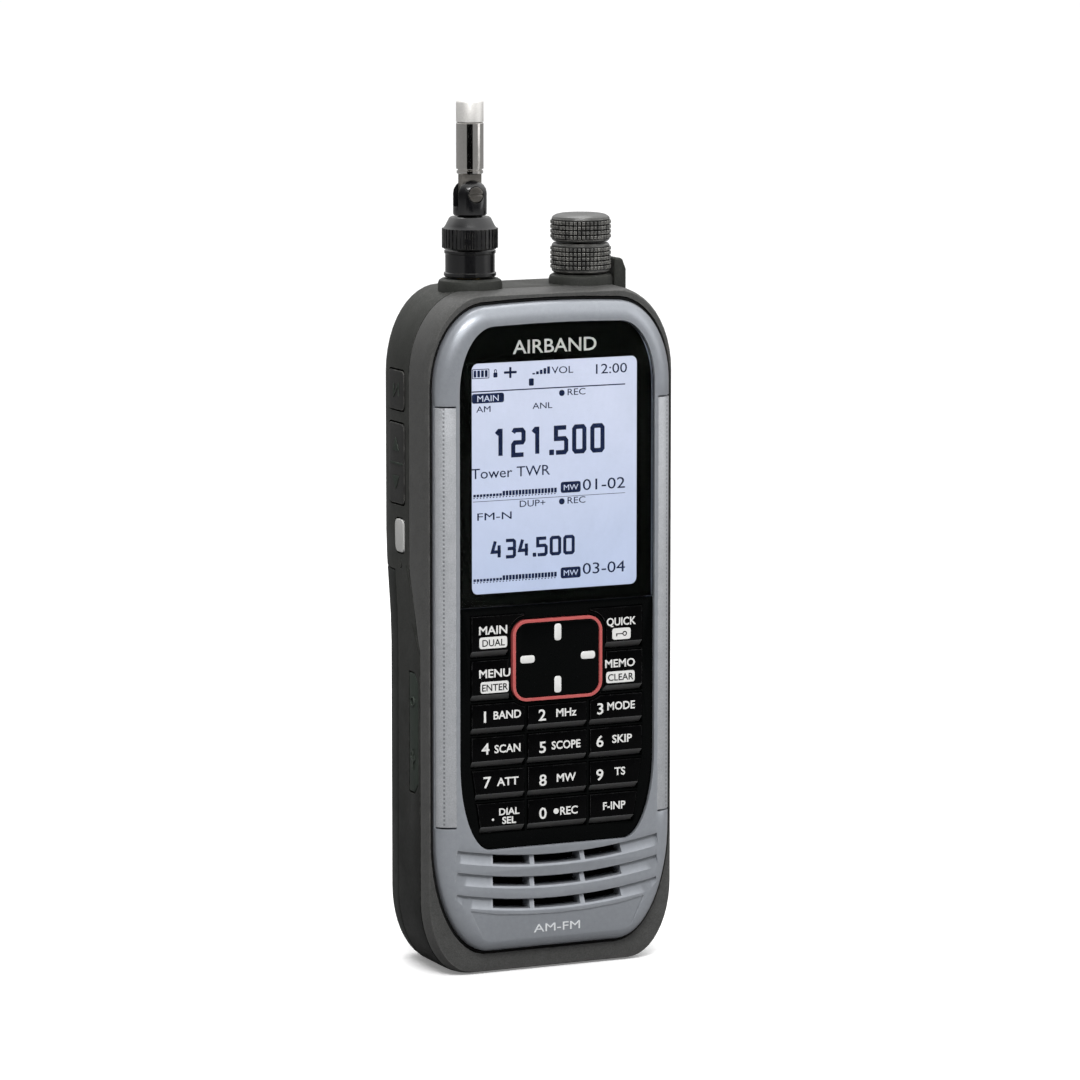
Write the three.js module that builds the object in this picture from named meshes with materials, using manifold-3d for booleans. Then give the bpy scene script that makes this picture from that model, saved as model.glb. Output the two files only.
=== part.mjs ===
// Handheld air-band receiver as an assembly of separate pieces.
// Millimetres, +Z up, front facing -Y, origin at the centre of the bottom face.
import * as THREE from 'three';
import { mergeVertices } from 'three/addons/utils/BufferGeometryUtils.js';
import Module from 'manifold-3d';

const wasm = await Module();
wasm.setup();

// ---------------------------------------------------------------- driving dimensions
const GAP = 0.3; // air between pieces that sit against each other
const SLIDE = 0.2; // air round a moving key or cap
const EMBED = 0.1; // how far joined solids reach into each other
const OVERRUN = 1; // how far a cutting solid reaches past the piece

const BODY = { width: 57.8, height: 142.6, depth: 30.9, wall: 1.8 };
const BODY_TOP_CORNER = [13, 17.6]; // corner ellipse, across and up
const BODY_BOTTOM_CORNER = [10, 16];
const FRONT_EDGE = { inset: 0.95, run: 7.6, endInset: 0.7 }; // soft front edge of the case
const BACK_EDGE = { inset: 7, run: 13.4, endInset: 2.5, endRun: 4 }; // round back edge
const GRIP = { from: 68, to: 92, waist: 0.7, extraInset: 0.5, extraRun: 2 }; // slimmer lower half
const SEAM = { upperDepth: 10.95, lowerDepth: 6.25, bendTop: 84, bendBottom: 68 }; // from the front face

const PLATE = { sideMargin: 1.93, topMargin: 2.6, bottomMargin: 5, thickness: 4.05, crown: 0.45 };
const PLATE_TOP_CORNER = [12, 17.2];
const PLATE_BOTTOM_CORNER = [12, 24];
const PLATE_EDGE = { inset: 4.2, drop: 3.05 }; // sloping border of the front plate
const SEAL = { channel: 0.8, inner: 0.15, outer: 0.65, sunk: 0.35, seat: 0.1 };
const PANEL_WALL = 1.6; // inner front wall of the front case

const WINDOW = { sideBorder: 4.47, topBorder: 4, bottom: 26.8, crown: 0.3 }; // opening of the front plate
const WINDOW_TOP_CORNER = [8, 13.5];
const WINDOW_BOTTOM_CORNER = [7, 18.2];
const TRIM = { topBorder: 20.5, bottom: 32.2, width: 3.67, depth: 2.9, notch: 0.5 };

const LENS = { thickness: 1, aboveKeys: 2, sunk: 0.2 };
const SCREEN = { sideMargin: 3.45, bottomMargin: 2.5, topMargin: 7.7, corner: 1.4 };
const MASK_THICKNESS = 0.4;
const DISPLAY = { border: 1.8, thickness: 2 };

const BEZEL = { thickness: 1, sunk: 0.55 };
const KEY = { proud: 0.3, flange: 0.35, flangeThickness: 0.55, slope: 1.3 };
const KEY_COLUMN_GAP = 0.9;
const KEY_CENTRE_WIDTH = 13.5;
const KEY_FIELD = { sideMargin: 2.8, bottomSideMargin: 4.9, aboveWindow: 3.55, taperHeight: 14.15 };
const KEY_ROW_GAP = 0.7;
const DIGIT_ROW = { height: 6.25, count: 4 };
const FUNCTION_ROW = { lowerHeight: 8.45, upperHeight: 8.6 };
const MAT = { thickness: 0.9, margin: 1 };
const PAD = { halfWidth: 10.32, belowRow: 0.65, height: 17.05, corner: 3.2, thickness: 1.7, sunk: 0.15 };
const PAD_RING = { width: 0.62, proud: 0.05, shorter: 0.2, joint: 0.1 };
const PAD_CLEARANCE = 0.35;
const PAD_BASE = { halfWidth: 6, halfHeight: 5, thickness: 0.4 };

const GRILLE = { rows: [23.7, 19.1, 14.4], slotHalfWidth: 14.9, slotHeight: 1.5, ribHalfWidth: 0.5 };
const GRILLE_RIB_AT = 5.85;
const GRILLE_SMILE = 2.3; // rise of a groove at its tips
const GRILLE_GROOVE = { tipBorder: 3.57, depth: 0.45 };
const SPEAKER = { radius: 13.5, depth: 5, rim: 1.6, height: 19, magnetRadius: 8 };
const SOUND_OPENING = { halfWidth: 16, halfHeight: 7 };
const CABLE_OPENING = { halfWidth: 12, height: 4 }; // behind the lower edge of the display

// Heights of the side keys are measured down from the top of the body, to each key's upper end.
const SIDE_KEY = { proud: 0.3, corner: 1.2, flange: 0.6, flangeThickness: 0.7, tiltSpace: 1.4 };
const SQUELCH_KEY = { fromTop: 16.6, height: 8.1, behindSeam: 2.15, length: 8.35 };
const ROCKER = { fromTop: 27.6, height: 16.7, behindSeam: 2.15, length: 8.35 };
const POWER_KEY = { fromTop: 47.5, height: 6.9, behindSeam: 2.65, length: 4.25 };
const JACK_COVER = { bottom: 38.5, height: 25, behindFront: 7.45, length: 4.8, thickness: 1.6, corner: 2 };
const JACK_BLOCK = { width: 8, depth: 3.6, margin: 2 };
const ROUND_SOCKET = { radius: 1.4, depth: 6, aboveEnd: 7 };
const FLAT_SOCKET = { halfWidth: 1.2, halfHeight: 3.7, depth: 5, belowEnd: 8 };

const AXIS_INSET = 16.1; // antenna and rotary control from the sides of the body
const BOSS = { radius: 6.7, rise: 2, root: 3 };
const ANTENNA_SOCKET = { bore: 1.2, below: 8, above: 2.5 };
const ANTENNA_BARREL = { radius: 5.45, bore: 3.6, height: 5.5 };
const COLLAR = { radius: 5.85, grip: 4.6, shoulder: 2.1, topRadius: 4, bore: 2.7 };
const COLLAR_STEP = { inset: 0.6, rise: 0.4 };
const FLUTE = { count: 16, radius: 0.45, outside: 0.1, above: 0.4, below: 0.3 };
const CLEVIS = { radius: 3.5, height: 7.5, slot: 2.6, stemRadius: 2.4, stemHeadRadius: 3.2, stemHead: 1.4 };
const DOME = { inset: 1.2, shoulderInset: 0.4, shoulderDrop: 0.45 };
const KNUCKLE = { height: 4.4, pinRadius: 0.8, pinInset: 0.4, tongueRadius: 2.2, tongueThickness: 2 };
const ROD = { radius: 2.85, foot: 4.1, floor: 0.6, length: 10.7, wall: 0.35, slip: 0.15 };
const ROD_TIP = { height: 4.5, chamfer: 0.3, joint: 0.1 };

const KNOB = { radius: 6.4, lowerHeight: 6.2, upperHeight: 5.8, topChamfer: 1, topDrop: 0.25, edge: 0.4 };
const DIAL_FOOT = { inset: 0.5, rise: 0.6 };
const KNOB_BORE_CLEARANCE = 0.1;
const KNOB_CAP = 2; // solid top of the upper knob
const SHAFT = { outerRadius: 2.9, innerRadius: 1.6 };
const GUARD = { gap: 0.5, thickness: 2.6, rise: 5.2, halfAngle: 0.42, root: 4 };
const GUARD_SLOPE = { topWidth: 1, footSpread: 1.2 };
const ENCODER = { size: 11.4, height: 9, belowWall: 2 };

const BOARD = { sideMargin: 5.9, bottom: 9, topMargin: 15.6, thickness: 1.6, behindSpeaker: 1.15 };
const PACK = { belowKeys: 4.2, behindBoard: 2.75, wall: 1.5, lid: 1.2 };
const CELL = { sideMargin: 10.9, bottom: 5, clearance: 1.5, topClearance: 2, corner: 3 };
const LATCH = { width: 16, height: 5, travel: 2.5, depth: 1.3, below: 4 };
const LATCH_GROOVE = { count: 3, halfWidth: 5, halfHeight: 0.3, depth: 0.4, pitch: 1.3, fromTop: 1.2 };
const CONTACTS = { halfWidth: 7, bottom: 4, top: 9, shortOfCell: 0.2, room: 0.5 };
const SCREW = { headRadius: 2.3, headHeight: 1.6, shankRadius: 1, boss: 3.3, seatSkin: 0.6 };
const SCREW_SIDE_MARGIN = 9.4;
const SCREW_SLOT = { halfLength: 1.3, halfWidth: 0.3, depth: 0.7 };
const SCREW_FLOOR = 0.8; // boss wall under a screw head
const SCREW_BLIND = 0.6; // front wall left whole ahead of a screw hole
const UPPER_SCREW_FROM_TOP = 21.6;
const LOWER_SCREW_HEIGHT = 33;
const LOWER_JOINT = 2; // the lower screw posts meet this far behind the seam

// ---------------------------------------------------------------- planes shared by several pieces
const HALF_WIDTH = BODY.width / 2;
const FRONT = -BODY.depth / 2;
const BACK = BODY.depth / 2;
const PLATE_BACK = FRONT + PLATE.thickness;
const PANEL_FRONT = PLATE_BACK + GAP;
const PANEL_BACK = PANEL_FRONT + PANEL_WALL;
const CASE_FRONT = FRONT + PLATE_EDGE.drop + GAP;
const SEAM_UPPER = FRONT + SEAM.upperDepth;
const SEAM_LOWER = FRONT + SEAM.lowerDepth;
const BOSS_TOP = BODY.height + BOSS.rise;
const AXIS_OFFSET = HALF_WIDTH - AXIS_INSET;
const PLATE_HALF_WIDTH = HALF_WIDTH - PLATE.sideMargin;
const PLATE_TOP = BODY.height - PLATE.topMargin;
const WINDOW_HALF_WIDTH = PLATE_HALF_WIDTH - WINDOW.sideBorder;
const WINDOW_TOP = PLATE_TOP - WINDOW.topBorder;

const DIGITS_BOTTOM = WINDOW.bottom + KEY_FIELD.aboveWindow;
const DIGIT_PITCH = DIGIT_ROW.height + KEY_ROW_GAP;
const LOWER_ROW_BOTTOM = DIGITS_BOTTOM + DIGIT_ROW.count * DIGIT_PITCH;
const UPPER_ROW_BOTTOM = LOWER_ROW_BOTTOM + FUNCTION_ROW.lowerHeight + KEY_ROW_GAP;
const KEYS_TOP = UPPER_ROW_BOTTOM + FUNCTION_ROW.upperHeight;
const LENS_BOTTOM = KEYS_TOP + LENS.aboveKeys;
const SCREEN_HALF_WIDTH = WINDOW_HALF_WIDTH - SCREEN.sideMargin;
const SCREEN_BOTTOM = LENS_BOTTOM + SCREEN.bottomMargin;
const SCREEN_TOP = WINDOW_TOP - SCREEN.topMargin;

const SPEAKER_FRONT = PANEL_BACK + GAP;
const BOARD_FRONT = SPEAKER_FRONT + SPEAKER.depth + BOARD.behindSpeaker;
const BAY_WALL_FRONT = BOARD_FRONT + BOARD.thickness + PACK.behindBoard;
const PACK_FRONT = BAY_WALL_FRONT + BODY.wall + GAP;
const PACK_TOP = BODY.height - POWER_KEY.fromTop - POWER_KEY.height - PACK.belowKeys;
const LEFT = -1;
const RIGHT = 1;
const FAR = 2 * BODY.width; // reach of cutting blocks that go past the body
const ABOVE = 2 * BODY.height;

// ---------------------------------------------------------------- solids from three.js geometry
function solidOf(geometry) {
  const bare = geometry.clone();
  bare.deleteAttribute('normal');
  bare.deleteAttribute('uv');
  const merged = mergeVertices(bare);
  const mesh = new wasm.Mesh({
    numProp: 3,
    vertProperties: merged.attributes.position.array,
    triVerts: new Uint32Array(merged.index.array),
  });
  return new wasm.Manifold(mesh);
}

function geometryOf(solid) {
  const mesh = solid.getMesh();
  const geometry = new THREE.BufferGeometry();
  geometry.setAttribute('position', new THREE.BufferAttribute(mesh.vertProperties, 3));
  geometry.setIndex(new THREE.BufferAttribute(mesh.triVerts, 1));
  geometry.computeVertexNormals();
  return geometry;
}

function extruded(shape, depth, curveSegments) {
  return new THREE.ExtrudeGeometry(shape, { depth, bevelEnabled: false, curveSegments });
}

// A shape drawn in X and Z, filled from front to back along Y.
function prismY(shape, front, back, curveSegments = 6) {
  const geometry = extruded(shape, back - front, curveSegments);
  geometry.rotateX(Math.PI / 2);
  geometry.translate(0, back, 0);
  return solidOf(geometry);
}

// A shape drawn in Y and Z, filled from low to high along X.
function prismX(shape, low, high, curveSegments = 3) {
  const geometry = extruded(shape, high - low, curveSegments);
  const axes = new THREE.Matrix4().makeBasis(
    new THREE.Vector3(0, 1, 0),
    new THREE.Vector3(0, 0, 1),
    new THREE.Vector3(1, 0, 0),
  );
  geometry.applyMatrix4(axes);
  geometry.translate(low, 0, 0);
  return solidOf(geometry);
}

// A shape drawn in X and Y, filled from low to high along Z.
function prismZ(shape, low, high, curveSegments = 5) {
  const geometry = extruded(shape, high - low, curveSegments);
  geometry.translate(0, 0, low);
  return solidOf(geometry);
}

function block(low, high) {
  const size = high.map((value, axis) => value - low[axis]);
  const geometry = new THREE.BoxGeometry(...size);
  geometry.translate(...low.map((value, axis) => value + size[axis] / 2));
  return solidOf(geometry);
}

// A profile of [radius, height] pairs turned about a vertical axis at (x, 0).
function turned(x, profile, segments = 28) {
  const points = profile.map(([radius, height]) => new THREE.Vector2(radius, height));
  const geometry = new THREE.LatheGeometry(points, segments);
  geometry.rotateX(Math.PI / 2);
  geometry.translate(x, 0, 0);
  return solidOf(geometry);
}

function rodZ(x, radius, low, high, segments = 24) {
  return turned(x, [[0, low], [radius, low], [radius, high], [0, high]], segments);
}

function tubeZ(x, outer, inner, low, high, segments = 24) {
  return turned(x, [[inner, low], [outer, low], [outer, high], [inner, high], [inner, low]], segments);
}

function rodAlong(direction, centre, radius, length, segments = 24) {
  const geometry = new THREE.CylinderGeometry(radius, radius, length, segments);
  const turn = new THREE.Quaternion().setFromUnitVectors(new THREE.Vector3(0, 1, 0), direction);
  geometry.applyQuaternion(turn);
  geometry.translate(...centre);
  return solidOf(geometry);
}

const ALONG_X = new THREE.Vector3(1, 0, 0);
const ALONG_Y = new THREE.Vector3(0, 1, 0);

function rodY(x, z, radius, front, back, segments = 16) {
  return rodAlong(ALONG_Y, [x, (front + back) / 2, z], radius, back - front, segments);
}

// ---------------------------------------------------------------- outlines
function panel(halfWidth, top, bottom, topCorner, bottomCorner, crown = 0) {
  return { halfWidth, top, bottom, topCorner, bottomCorner, crown };
}

function grown(outline, by) {
  return {
    ...outline,
    halfWidth: outline.halfWidth + by,
    top: outline.top + by,
    bottom: outline.bottom - by,
    topCorner: outline.topCorner.map((radius) => radius + by),
    bottomCorner: outline.bottomCorner.map((radius) => radius + by),
  };
}

// Straight sides, elliptical corners and a slightly crowned top edge.
function outlineShape(outline, sideStops = []) {
  const { halfWidth, top, bottom, crown } = outline;
  const [topAcross, topUp] = outline.topCorner;
  const [lowAcross, lowUp] = outline.bottomCorner;
  const quarter = Math.PI / 2;
  const shape = new THREE.Shape();
  shape.moveTo(lowAcross - halfWidth, bottom);
  shape.lineTo(halfWidth - lowAcross, bottom);
  shape.absellipse(halfWidth - lowAcross, bottom + lowUp, lowAcross, lowUp, -quarter, 0, false, 0);
  for (const stop of sideStops) {
    shape.lineTo(halfWidth, stop);
  }
  shape.lineTo(halfWidth, top - topUp);
  shape.absellipse(halfWidth - topAcross, top - topUp, topAcross, topUp, 0, quarter, false, 0);
  if (crown > 0) {
    shape.quadraticCurveTo(0, top + 2 * crown, topAcross - halfWidth, top);
  } else {
    shape.lineTo(topAcross - halfWidth, top);
  }
  shape.absellipse(topAcross - halfWidth, top - topUp, topAcross, topUp, quarter, 2 * quarter, false, 0);
  for (const stop of [...sideStops].reverse()) {
    shape.lineTo(-halfWidth, stop);
  }
  shape.lineTo(-halfWidth, bottom + lowUp);
  const lowLeft = [lowAcross - halfWidth, bottom + lowUp];
  shape.absellipse(...lowLeft, lowAcross, lowUp, 2 * quarter, 3 * quarter, false, 0);
  return shape;
}

function polygon(points) {
  return new THREE.Shape(points.map(([across, up]) => new THREE.Vector2(across, up)));
}

function roundedRectangle(left, bottom, right, top, radius) {
  const quarter = Math.PI / 2;
  const shape = new THREE.Shape();
  shape.moveTo(left + radius, bottom);
  shape.lineTo(right - radius, bottom);
  shape.absarc(right - radius, bottom + radius, radius, -quarter, 0, false);
  shape.lineTo(right, top - radius);
  shape.absarc(right - radius, top - radius, radius, 0, quarter, false);
  shape.lineTo(left + radius, top);
  shape.absarc(left + radius, top - radius, radius, quarter, 2 * quarter, false);
  shape.lineTo(left, bottom + radius);
  shape.absarc(left + radius, bottom + radius, radius, 2 * quarter, 3 * quarter, false);
  return shape;
}

const BODY_OUTLINE = panel(HALF_WIDTH, BODY.height, 0, BODY_TOP_CORNER, BODY_BOTTOM_CORNER);
const PLATE_OUTLINE = panel(
  PLATE_HALF_WIDTH,
  PLATE_TOP,
  PLATE.bottomMargin,
  PLATE_TOP_CORNER,
  PLATE_BOTTOM_CORNER,
  PLATE.crown,
);
const WINDOW_OUTLINE = panel(
  WINDOW_HALF_WIDTH,
  WINDOW_TOP,
  WINDOW.bottom,
  WINDOW_TOP_CORNER,
  WINDOW_BOTTOM_CORNER,
  WINDOW.crown,
);

// ---------------------------------------------------------------- the case as one shape
function smooth(from, to, value) {
  const share = THREE.MathUtils.clamp((value - from) / (to - from), 0, 1);
  return share * share * (3 - 2 * share);
}

// Distance that a quarter ellipse falls away after a given run.
function roundOff(distance, run, inset) {
  const share = THREE.MathUtils.clamp(distance / run, 0, 1);
  return inset * (1 - Math.sqrt(1 - share * share));
}

function sideDrop(y, z) {
  const grip = 1 - smooth(GRIP.from, GRIP.to, z);
  const run = BACK_EDGE.run + grip * GRIP.extraRun;
  const inset = BACK_EDGE.inset + grip * GRIP.extraInset;
  const back = roundOff(y - BACK + run, run, inset);
  const front = roundOff(FRONT_EDGE.run + CASE_FRONT - y, FRONT_EDGE.run, FRONT_EDGE.inset);
  return back + front + grip * GRIP.waist * smooth(SEAM_LOWER, 0, y);
}

function endDrop(y) {
  const back = roundOff(y - BACK + BACK_EDGE.endRun, BACK_EDGE.endRun, BACK_EDGE.endInset);
  const front = roundOff(FRONT_EDGE.run + CASE_FRONT - y, FRONT_EDGE.run, FRONT_EDGE.endInset);
  return back + front;
}

// The body's outer form when shrink is 0, and its hollow when shrink is the wall.
function caseForm(shrink) {
  const outline = grown(BODY_OUTLINE, -shrink);
  const stops = [0, 0.35, 0.65, 1].map((share) => THREE.MathUtils.lerp(GRIP.from, GRIP.to, share));
  const geometry = new THREE.ExtrudeGeometry(outlineShape(outline, stops), {
    depth: 1,
    steps: 9,
    bevelEnabled: false,
    curveSegments: 5,
  });
  const back = BACK - shrink;
  const middle = BODY.height / 2;
  const position = geometry.attributes.position;
  for (let i = 0; i < position.count; i += 1) {
    const along = (1 - Math.cos(Math.PI * position.getZ(i))) / 2;
    const y = back - along * (back - CASE_FRONT);
    const across = position.getX(i) * (1 - sideDrop(y + shrink, position.getY(i)) / outline.halfWidth);
    const up = middle + (position.getY(i) - middle) * (1 - endDrop(y + shrink) / (middle - shrink));
    position.setXYZ(i, across, y, up);
  }
  return solidOf(geometry);
}

// Side view of everything ahead of the seam between the two cases.
function aheadOfSeam(clearance) {
  const ahead = FRONT - FAR;
  return polygon([
    [ahead, -FAR],
    [SEAM_LOWER + clearance, -FAR],
    [SEAM_LOWER + clearance, SEAM.bendBottom],
    [SEAM_UPPER + clearance, SEAM.bendTop],
    [SEAM_UPPER + clearance, ABOVE],
    [ahead, ABOVE],
  ]);
}

function packSpace(clearance) {
  return block([-FAR, PACK_FRONT - clearance, -FAR], [FAR, FAR, PACK_TOP + clearance]);
}

const SCREW_ACROSS = HALF_WIDTH - SCREW_SIDE_MARGIN;
const UPPER_SCREW_HEIGHT = BODY.height - UPPER_SCREW_FROM_TOP;
const UPPER_SEAT = BACK - BODY.wall - SCREW.seatSkin;
const LOWER_SEAT = PACK_FRONT - BODY.wall - SCREW.seatSkin;
const POST_JOINT = SEAM_LOWER + LOWER_JOINT;
const SCREW_PLACES = [
  { name: 'case_screw_1', x: -SCREW_ACROSS, z: UPPER_SCREW_HEIGHT, seat: UPPER_SEAT, joint: SEAM_UPPER },
  { name: 'case_screw_2', x: SCREW_ACROSS, z: UPPER_SCREW_HEIGHT, seat: UPPER_SEAT, joint: SEAM_UPPER },
  { name: 'case_screw_3', x: -SCREW_ACROSS, z: LOWER_SCREW_HEIGHT, seat: LOWER_SEAT, joint: POST_JOINT },
  { name: 'case_screw_4', x: SCREW_ACROSS, z: LOWER_SCREW_HEIGHT, seat: LOWER_SEAT, joint: POST_JOINT },
];
const LOWER_SCREW_PLACES = SCREW_PLACES.slice(2);

// ---------------------------------------------------------------- cases
function frontCase() {
  const rim = grown(PLATE_OUTLINE, SEAL.channel);
  let body = caseForm(0).intersect(prismX(aheadOfSeam(0), -FAR, FAR));
  body = body.subtract(prismY(outlineShape(rim), FRONT - OVERRUN, PANEL_FRONT));
  const hollow = caseForm(BODY.wall).subtract(block([-FAR, -FAR, -FAR], [FAR, PANEL_BACK, ABOVE]));
  body = body.subtract(hollow);
  for (const place of SCREW_PLACES) {
    const hole = SCREW.shankRadius + GAP;
    body = body.add(rodY(place.x, place.z, SCREW.boss, PANEL_BACK - EMBED, place.joint - GAP));
    body = body.subtract(rodY(place.x, place.z, hole, PANEL_FRONT + SCREW_BLIND, BACK));
  }
  body = body.subtract(soundOpening()).subtract(cableOpening());
  for (const side of [LEFT, RIGHT]) {
    const low = BODY.height - BODY_TOP_CORNER[1];
    body = body.subtract(rodZ(side * AXIS_OFFSET, BOSS.radius + GAP, low, BOSS_TOP + OVERRUN));
  }
  return body.subtract(jackCoverSpace(GAP)).subtract(jackWindow(GAP));
}

// Opening between the speaker and the grille.
function soundOpening() {
  const { halfWidth, halfHeight } = SOUND_OPENING;
  return block(
    [-halfWidth, FRONT, SPEAKER.height - halfHeight],
    [halfWidth, PANEL_BACK + OVERRUN, SPEAKER.height + halfHeight],
  );
}

function cableOpening() {
  const { halfWidth, height } = CABLE_OPENING;
  const low = SCREEN_BOTTOM - OVERRUN;
  return block([-halfWidth, FRONT, low], [halfWidth, PANEL_BACK + OVERRUN, low + height]);
}

function rearCase() {
  let body = caseForm(0);
  const hollow = caseForm(BODY.wall).subtract(packSpace(GAP + BODY.wall));
  body = body.subtract(hollow).subtract(packSpace(GAP));
  for (const place of SCREW_PLACES) {
    body = body.add(rodY(place.x, place.z, SCREW.boss, place.joint, place.seat + SCREW_FLOOR));
  }
  body = body.subtract(prismX(aheadOfSeam(GAP), -FAR, FAR).subtract(screwPosts()));
  for (const place of SCREW_PLACES) {
    body = body.subtract(rodY(place.x, place.z, SCREW.shankRadius + GAP, SEAM_LOWER, BACK));
    body = body.subtract(rodY(place.x, place.z, SCREW.headRadius + GAP, place.seat, BACK + OVERRUN));
  }
  for (const side of [LEFT, RIGHT]) {
    body = body.add(rodZ(side * AXIS_OFFSET, BOSS.radius, BODY.height - BOSS.root, BOSS_TOP, 32));
  }
  body = body.add(guardFin());
  for (const side of [LEFT, RIGHT]) {
    const low = BODY.height - BODY.wall - OVERRUN - BOSS.radius;
    body = body.subtract(rodZ(side * AXIS_OFFSET, SHAFT.outerRadius + GAP, low, BOSS_TOP + OVERRUN));
  }
  for (const key of [SQUELCH_KEY, ROCKER, POWER_KEY]) {
    body = body.subtract(sideKeySpace(key, SLIDE));
  }
  return body.subtract(jackCoverSpace(GAP)).subtract(jackWindow(GAP));
}

// The lower screw posts reach forward past the seam plane inside the case.
function screwPosts() {
  const posts = LOWER_SCREW_PLACES.map((place) => (
    rodY(place.x, place.z, SCREW.boss, place.joint, place.seat)
  ));
  return wasm.Manifold.union(posts);
}

// Curved fin beside the rotary control that keeps it from being knocked.
function guardFin() {
  const inner = KNOB.radius + GUARD.gap;
  const outer = inner + GUARD.thickness;
  const shape = new THREE.Shape();
  shape.absarc(AXIS_OFFSET, 0, outer, -GUARD.halfAngle, GUARD.halfAngle, false);
  shape.absarc(AXIS_OFFSET, 0, inner, GUARD.halfAngle, -GUARD.halfAngle, true);
  const low = BODY.height - GUARD.root;
  const high = BODY.height + GUARD.rise;
  const slope = polygon([
    [AXIS_OFFSET, high],
    [AXIS_OFFSET + inner + GUARD_SLOPE.topWidth, high],
    [AXIS_OFFSET + outer + GUARD_SLOPE.footSpread, low],
    [AXIS_OFFSET, low],
  ]);
  return prismZ(shape, low, high).intersect(prismY(slope, FRONT, BACK));
}

function gasket() {
  const ring = outlineShape(grown(PLATE_OUTLINE, SEAL.outer));
  const hole = outlineShape(grown(PLATE_OUTLINE, SEAL.inner));
  const front = CASE_FRONT + SEAL.sunk;
  const hollow = prismY(hole, front - OVERRUN, PANEL_FRONT + OVERRUN);
  return prismY(ring, front, PANEL_FRONT - SEAL.seat).subtract(hollow);
}

// ---------------------------------------------------------------- front plate
function plateForm() {
  const shape = outlineShape(PLATE_OUTLINE);
  const shoulder = FRONT + PLATE_EDGE.drop;
  const geometry = new THREE.ExtrudeGeometry(shape, {
    depth: PLATE_BACK - shoulder,
    bevelEnabled: true,
    bevelThickness: PLATE_EDGE.drop,
    bevelSize: PLATE_EDGE.inset,
    bevelOffset: -PLATE_EDGE.inset,
    bevelSegments: 3,
    curveSegments: 6,
  });
  geometry.rotateX(Math.PI / 2);
  geometry.translate(0, PLATE_BACK, 0);
  return solidOf(geometry).intersect(block([-FAR, -FAR, -FAR], [FAR, PLATE_BACK, ABOVE]));
}

const GROOVE_TIP = PLATE_HALF_WIDTH - GRILLE_GROOVE.tipBorder;

// A groove that rises towards its tips, between two parabolas.
function smileShape(height, fromX, toX, thickness) {
  const rise = (x) => height + GRILLE_SMILE * (x / GROOVE_TIP) ** 2;
  const slope = (x) => (2 * GRILLE_SMILE * x) / GROOVE_TIP ** 2;
  const middle = (fromX + toX) / 2;
  const control = rise(fromX) + slope(fromX) * (middle - fromX);
  const half = thickness / 2;
  const shape = new THREE.Shape();
  shape.moveTo(fromX, rise(fromX) - half);
  shape.quadraticCurveTo(middle, control - half, toX, rise(toX) - half);
  shape.lineTo(toX, rise(toX) + half);
  shape.quadraticCurveTo(middle, control + half, fromX, rise(fromX) + half);
  return shape;
}

function trimSpace(side, clearance) {
  const inner = PLATE_HALF_WIDTH - TRIM.width - clearance;
  const low = side === LEFT ? -FAR : inner;
  const high = side === LEFT ? -inner : FAR;
  const back = FRONT + TRIM.depth + clearance;
  const top = PLATE_TOP - TRIM.topBorder + clearance;
  return block([low, -FAR, TRIM.bottom - clearance], [high, back, top]);
}

function frontPlate() {
  let plate = plateForm();
  plate = plate.subtract(prismY(outlineShape(WINDOW_OUTLINE), FRONT - OVERRUN, 0));
  const rib = GRILLE.ribHalfWidth;
  const spans = [
    [-GRILLE.slotHalfWidth, -GRILLE_RIB_AT - rib],
    [-GRILLE_RIB_AT + rib, GRILLE_RIB_AT - rib],
    [GRILLE_RIB_AT + rib, GRILLE.slotHalfWidth],
  ];
  for (const row of GRILLE.rows) {
    for (const [from, to] of spans) {
      const slot = smileShape(row, from, to, GRILLE.slotHeight);
      plate = plate.subtract(prismY(slot, FRONT - OVERRUN, 0, 4));
    }
    const groove = smileShape(row, -GROOVE_TIP, GROOVE_TIP, GRILLE.slotHeight);
    plate = plate.subtract(prismY(groove, FRONT - OVERRUN, FRONT + GRILLE_GROOVE.depth));
  }
  const notch = TRIM.notch;
  return plate.subtract(trimSpace(LEFT, notch / 2)).subtract(trimSpace(RIGHT, notch / 2));
}

function sideTrim(side) {
  return plateForm().intersect(trimSpace(side, 0));
}

// ---------------------------------------------------------------- display
function inWindow(clearance, bottom, top) {
  const shape = outlineShape(grown(WINDOW_OUTLINE, -clearance));
  return (front, back) => prismY(shape, front, back)
    .intersect(block([-FAR, -FAR, bottom], [FAR, FAR, top]));
}

const LENS_FRONT = FRONT + LENS.sunk;
const MASK_FRONT = LENS_FRONT + LENS.thickness + GAP;
const DISPLAY_FRONT = MASK_FRONT + MASK_THICKNESS + SLIDE;

function displayLens() {
  return inWindow(SLIDE, LENS_BOTTOM, ABOVE)(LENS_FRONT, LENS_FRONT + LENS.thickness);
}

function displayFrame() {
  const half = SCREEN_HALF_WIDTH;
  const hole = roundedRectangle(-half, SCREEN_BOTTOM, half, SCREEN_TOP, SCREEN.corner);
  const sheet = inWindow(SLIDE, LENS_BOTTOM, ABOVE)(MASK_FRONT, MASK_FRONT + MASK_THICKNESS);
  return sheet.subtract(prismY(hole, FRONT, 0, 4));
}

function displayModule() {
  const half = SCREEN_HALF_WIDTH + DISPLAY.border;
  return block(
    [-half, DISPLAY_FRONT, SCREEN_BOTTOM - DISPLAY.border],
    [half, DISPLAY_FRONT + DISPLAY.thickness, SCREEN_TOP + DISPLAY.border],
  );
}

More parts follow.
